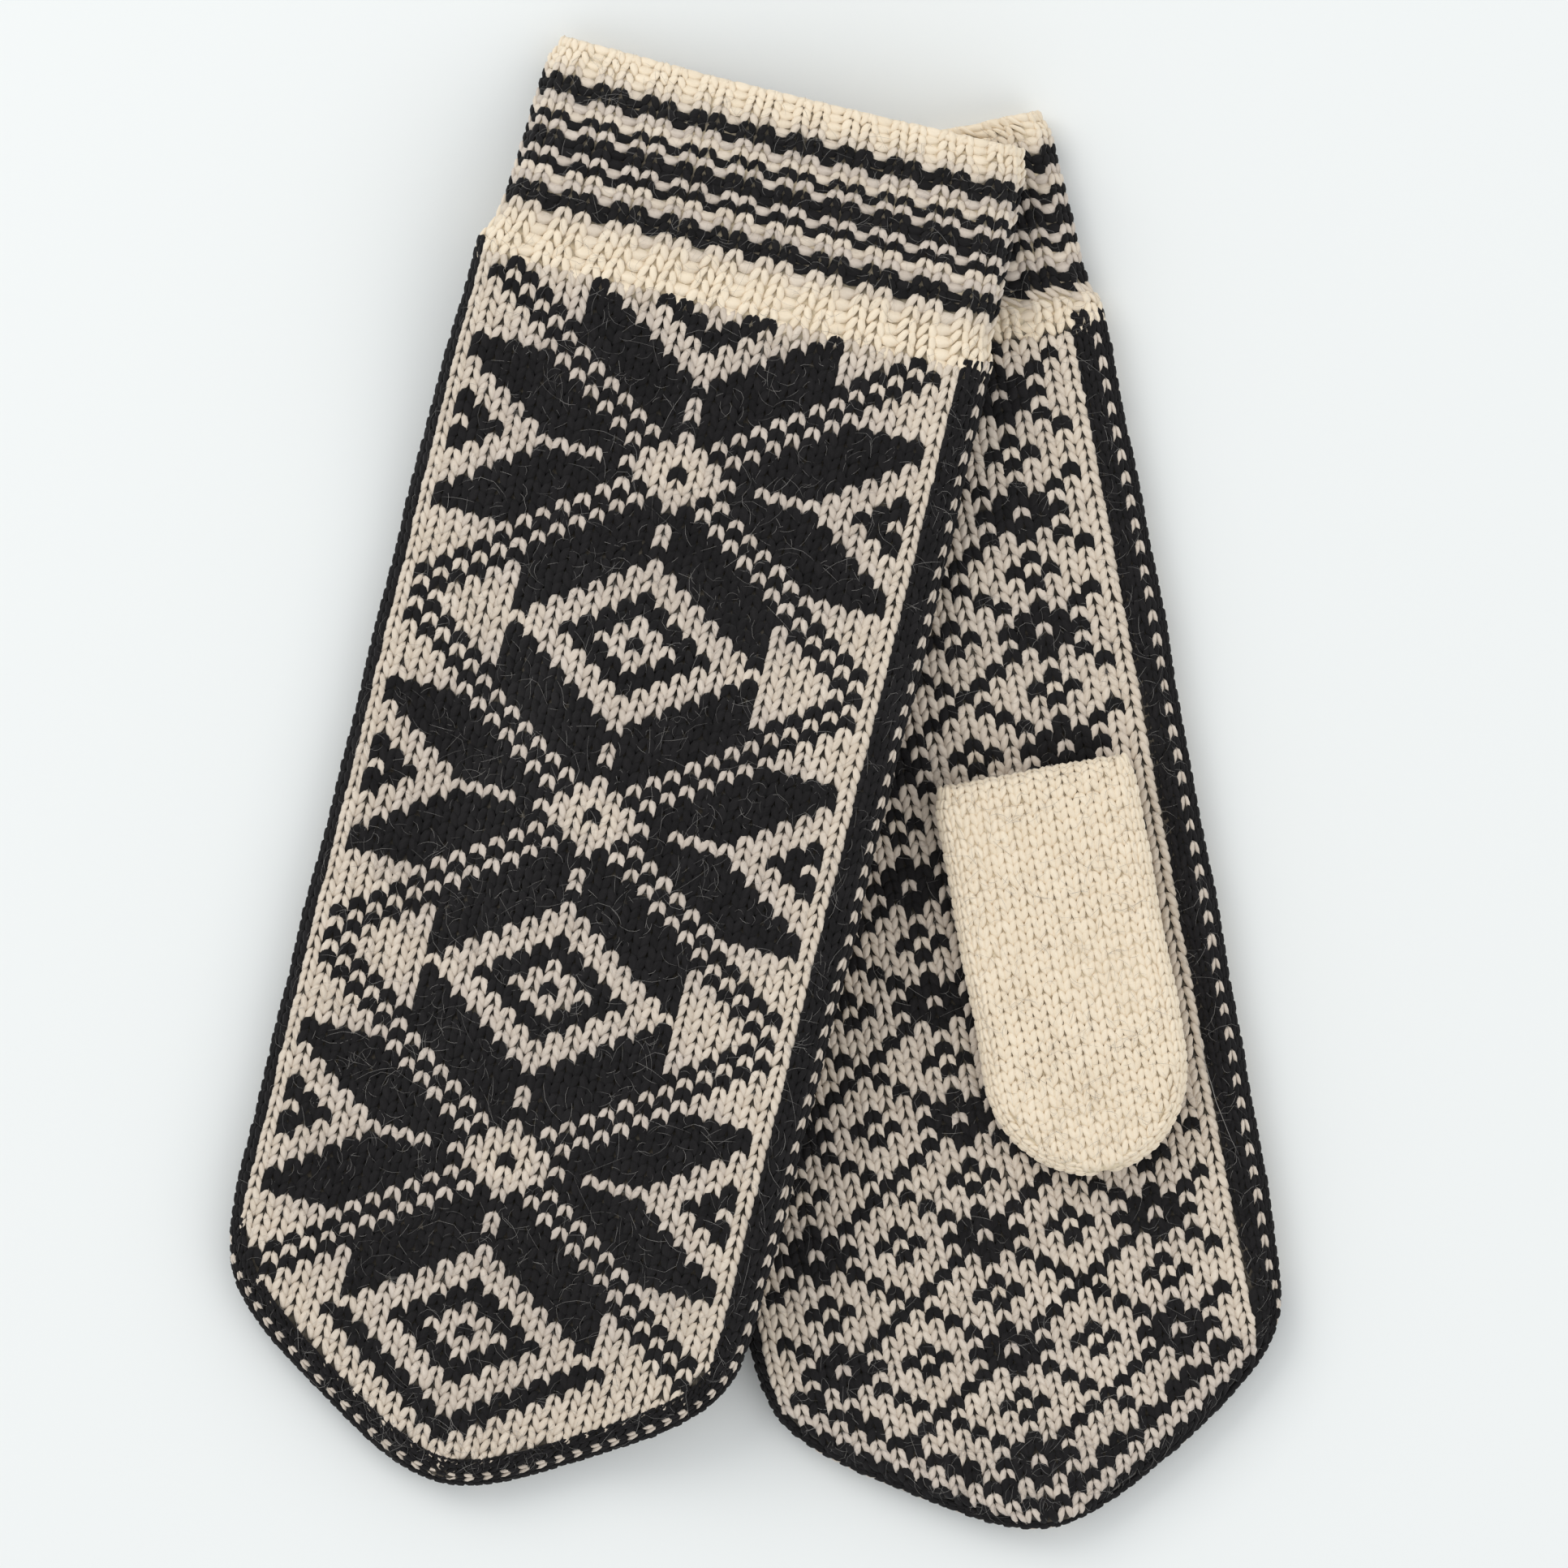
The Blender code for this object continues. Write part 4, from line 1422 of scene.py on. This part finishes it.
@dataclass
class Studio:
    """The pale floor, the soft light and the camera straight above."""

    across: float = 0.3019       # width of the view at the mittens
    aim: tuple[float, float] = (0.00549, -0.00064)
    height: float = 4.0
    floor_reach: float = 3.0
    floor_level: float = -0.0002

    def floor(self) -> None:
        """A wide pale floor just under the mittens."""
        g = Graph("pale_floor")
        colour = g.between(g.noise(3.0, 2.0), (0.853, 0.874, 0.866, 1), (0.858, 0.879, 0.871, 1))
        material = g.finish(Base_Color=colour, Roughness=0.9, Specular_IOR_Level=0.1)
        mesh = bpy.data.meshes.new("floor")
        corners = [(x * self.floor_reach, y * self.floor_reach, self.floor_level)
                   for x, y in ((-1, -1), (1, -1), (1, 1), (-1, 1))]
        mesh.from_pydata(corners, [], [(0, 1, 2, 3)])
        piece_of(mesh, material)

    def lights(self) -> None:
        """An even pale sky, a large soft light from the upper left and a weak one opposite."""
        world = bpy.data.worlds.new("soft_room")
        world.use_nodes = True
        world.node_tree.nodes["Background"].inputs[0].default_value = (0.96, 0.98, 1.0, 1.0)
        world.node_tree.nodes["Background"].inputs[1].default_value = 0.80
        bpy.context.scene.world = world
        for name, place, size, power in (("key", (-0.9, 0.9, 1.3), 1.1, 10.0),
                                         ("fill", (1.2, -0.7, 1.4), 1.4, 5.0)):
            lamp = bpy.data.lights.new(name, "AREA")
            lamp.size, lamp.energy, lamp.color = size, power, (1.0, 0.985, 0.96)
            light = bpy.data.objects.new(name, lamp)
            light.location = place
            light.rotation_euler = (-Vector(place)).to_track_quat("-Z", "Y").to_euler()
            bpy.context.scene.collection.objects.link(light)

    def camera(self) -> None:
        """A long lens straight above, with the fingertips towards the bottom of the view."""
        data = bpy.data.cameras.new("camera")
        data.sensor_width = 36.0
        data.lens = 36.0 * self.height / self.across
        data.clip_end = 20.0
        camera = bpy.data.objects.new("camera", data)
        camera.location = (*self.aim, self.height + 0.015)
        bpy.context.scene.collection.objects.link(camera)
        bpy.context.scene.camera = camera

    def build(self) -> None:
        """Sets the whole room."""
        self.floor()
        self.lights()
        self.camera()
        bpy.context.scene.view_settings.view_transform = "Standard"


def even_layout(centre: float, pitch: float, **rest: object) -> Layout:
    """A layout with one centre and one pitch all along."""
    return Layout((0.0,), (centre,), (pitch,), (pitch,), **rest)


def left_mitten(wardrobe: Wardrobe) -> Mitten:
    """The lower mitten, palm up. The middle of its palm's chart leans a little to one side."""
    stations = (0.047, 0.143, 0.212, 0.258)
    centres = (-0.0078, -0.0058, -0.0034, -0.0009)
    borders = (0.0428, 0.0428, 0.0428, 0.0436)
    palm = Layout(stations, centres, (0.00327,) * 4,
                  tuple((border - centre) / BORDER_COLUMN for border, centre in zip(borders, centres)),
                  anchor=0.2117, pitch_up=0.00229, pitch_down=0.00216, rows=LATTICE_ROWS, slope=0.052)
    back = even_layout(0.0063, 0.00330, anchor=0.0735, pitch_up=0.002227, pitch_down=0.002227,
                       rows=STAR_ROWS)
    return Mitten(LEFT, back, palm, tip_rims={1: (0.70, 2.00), -1: (0.88, 2.18)}, wardrobe=wardrobe,
                  seed=11, welt=0.0068, stripes_end=0.0340, pattern_start=0.0425)


def right_mitten(wardrobe: Wardrobe) -> Mitten:
    """The upper mitten, back up."""
    back = even_layout(-0.00235, 0.003316, anchor=0.07675, pitch_up=0.0022692,
                       pitch_down=0.0022692, rows=STAR_ROWS)
    palm = even_layout(0.0036, 0.00330, anchor=0.2178, pitch_up=0.00232, pitch_down=0.00219,
                       rows=LATTICE_ROWS)
    return Mitten(RIGHT, back, palm, tip_rims={1: (0.10, 1.55), -1: (0.10, 1.55)}, wardrobe=wardrobe,
                  seed=23, welt=0.0070, stripes_end=0.0324, pattern_start=0.0440)


def main() -> None:
    """Loads the frame, knits both mittens and sets the room."""
    logging.basicConfig(level=logging.INFO, format="%(name)s: %(message)s")
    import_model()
    wardrobe = Wardrobe()
    Studio().build()
    for make in (left_mitten, right_mitten):
        make(wardrobe).build()


if __name__ == "__main__":
    main()
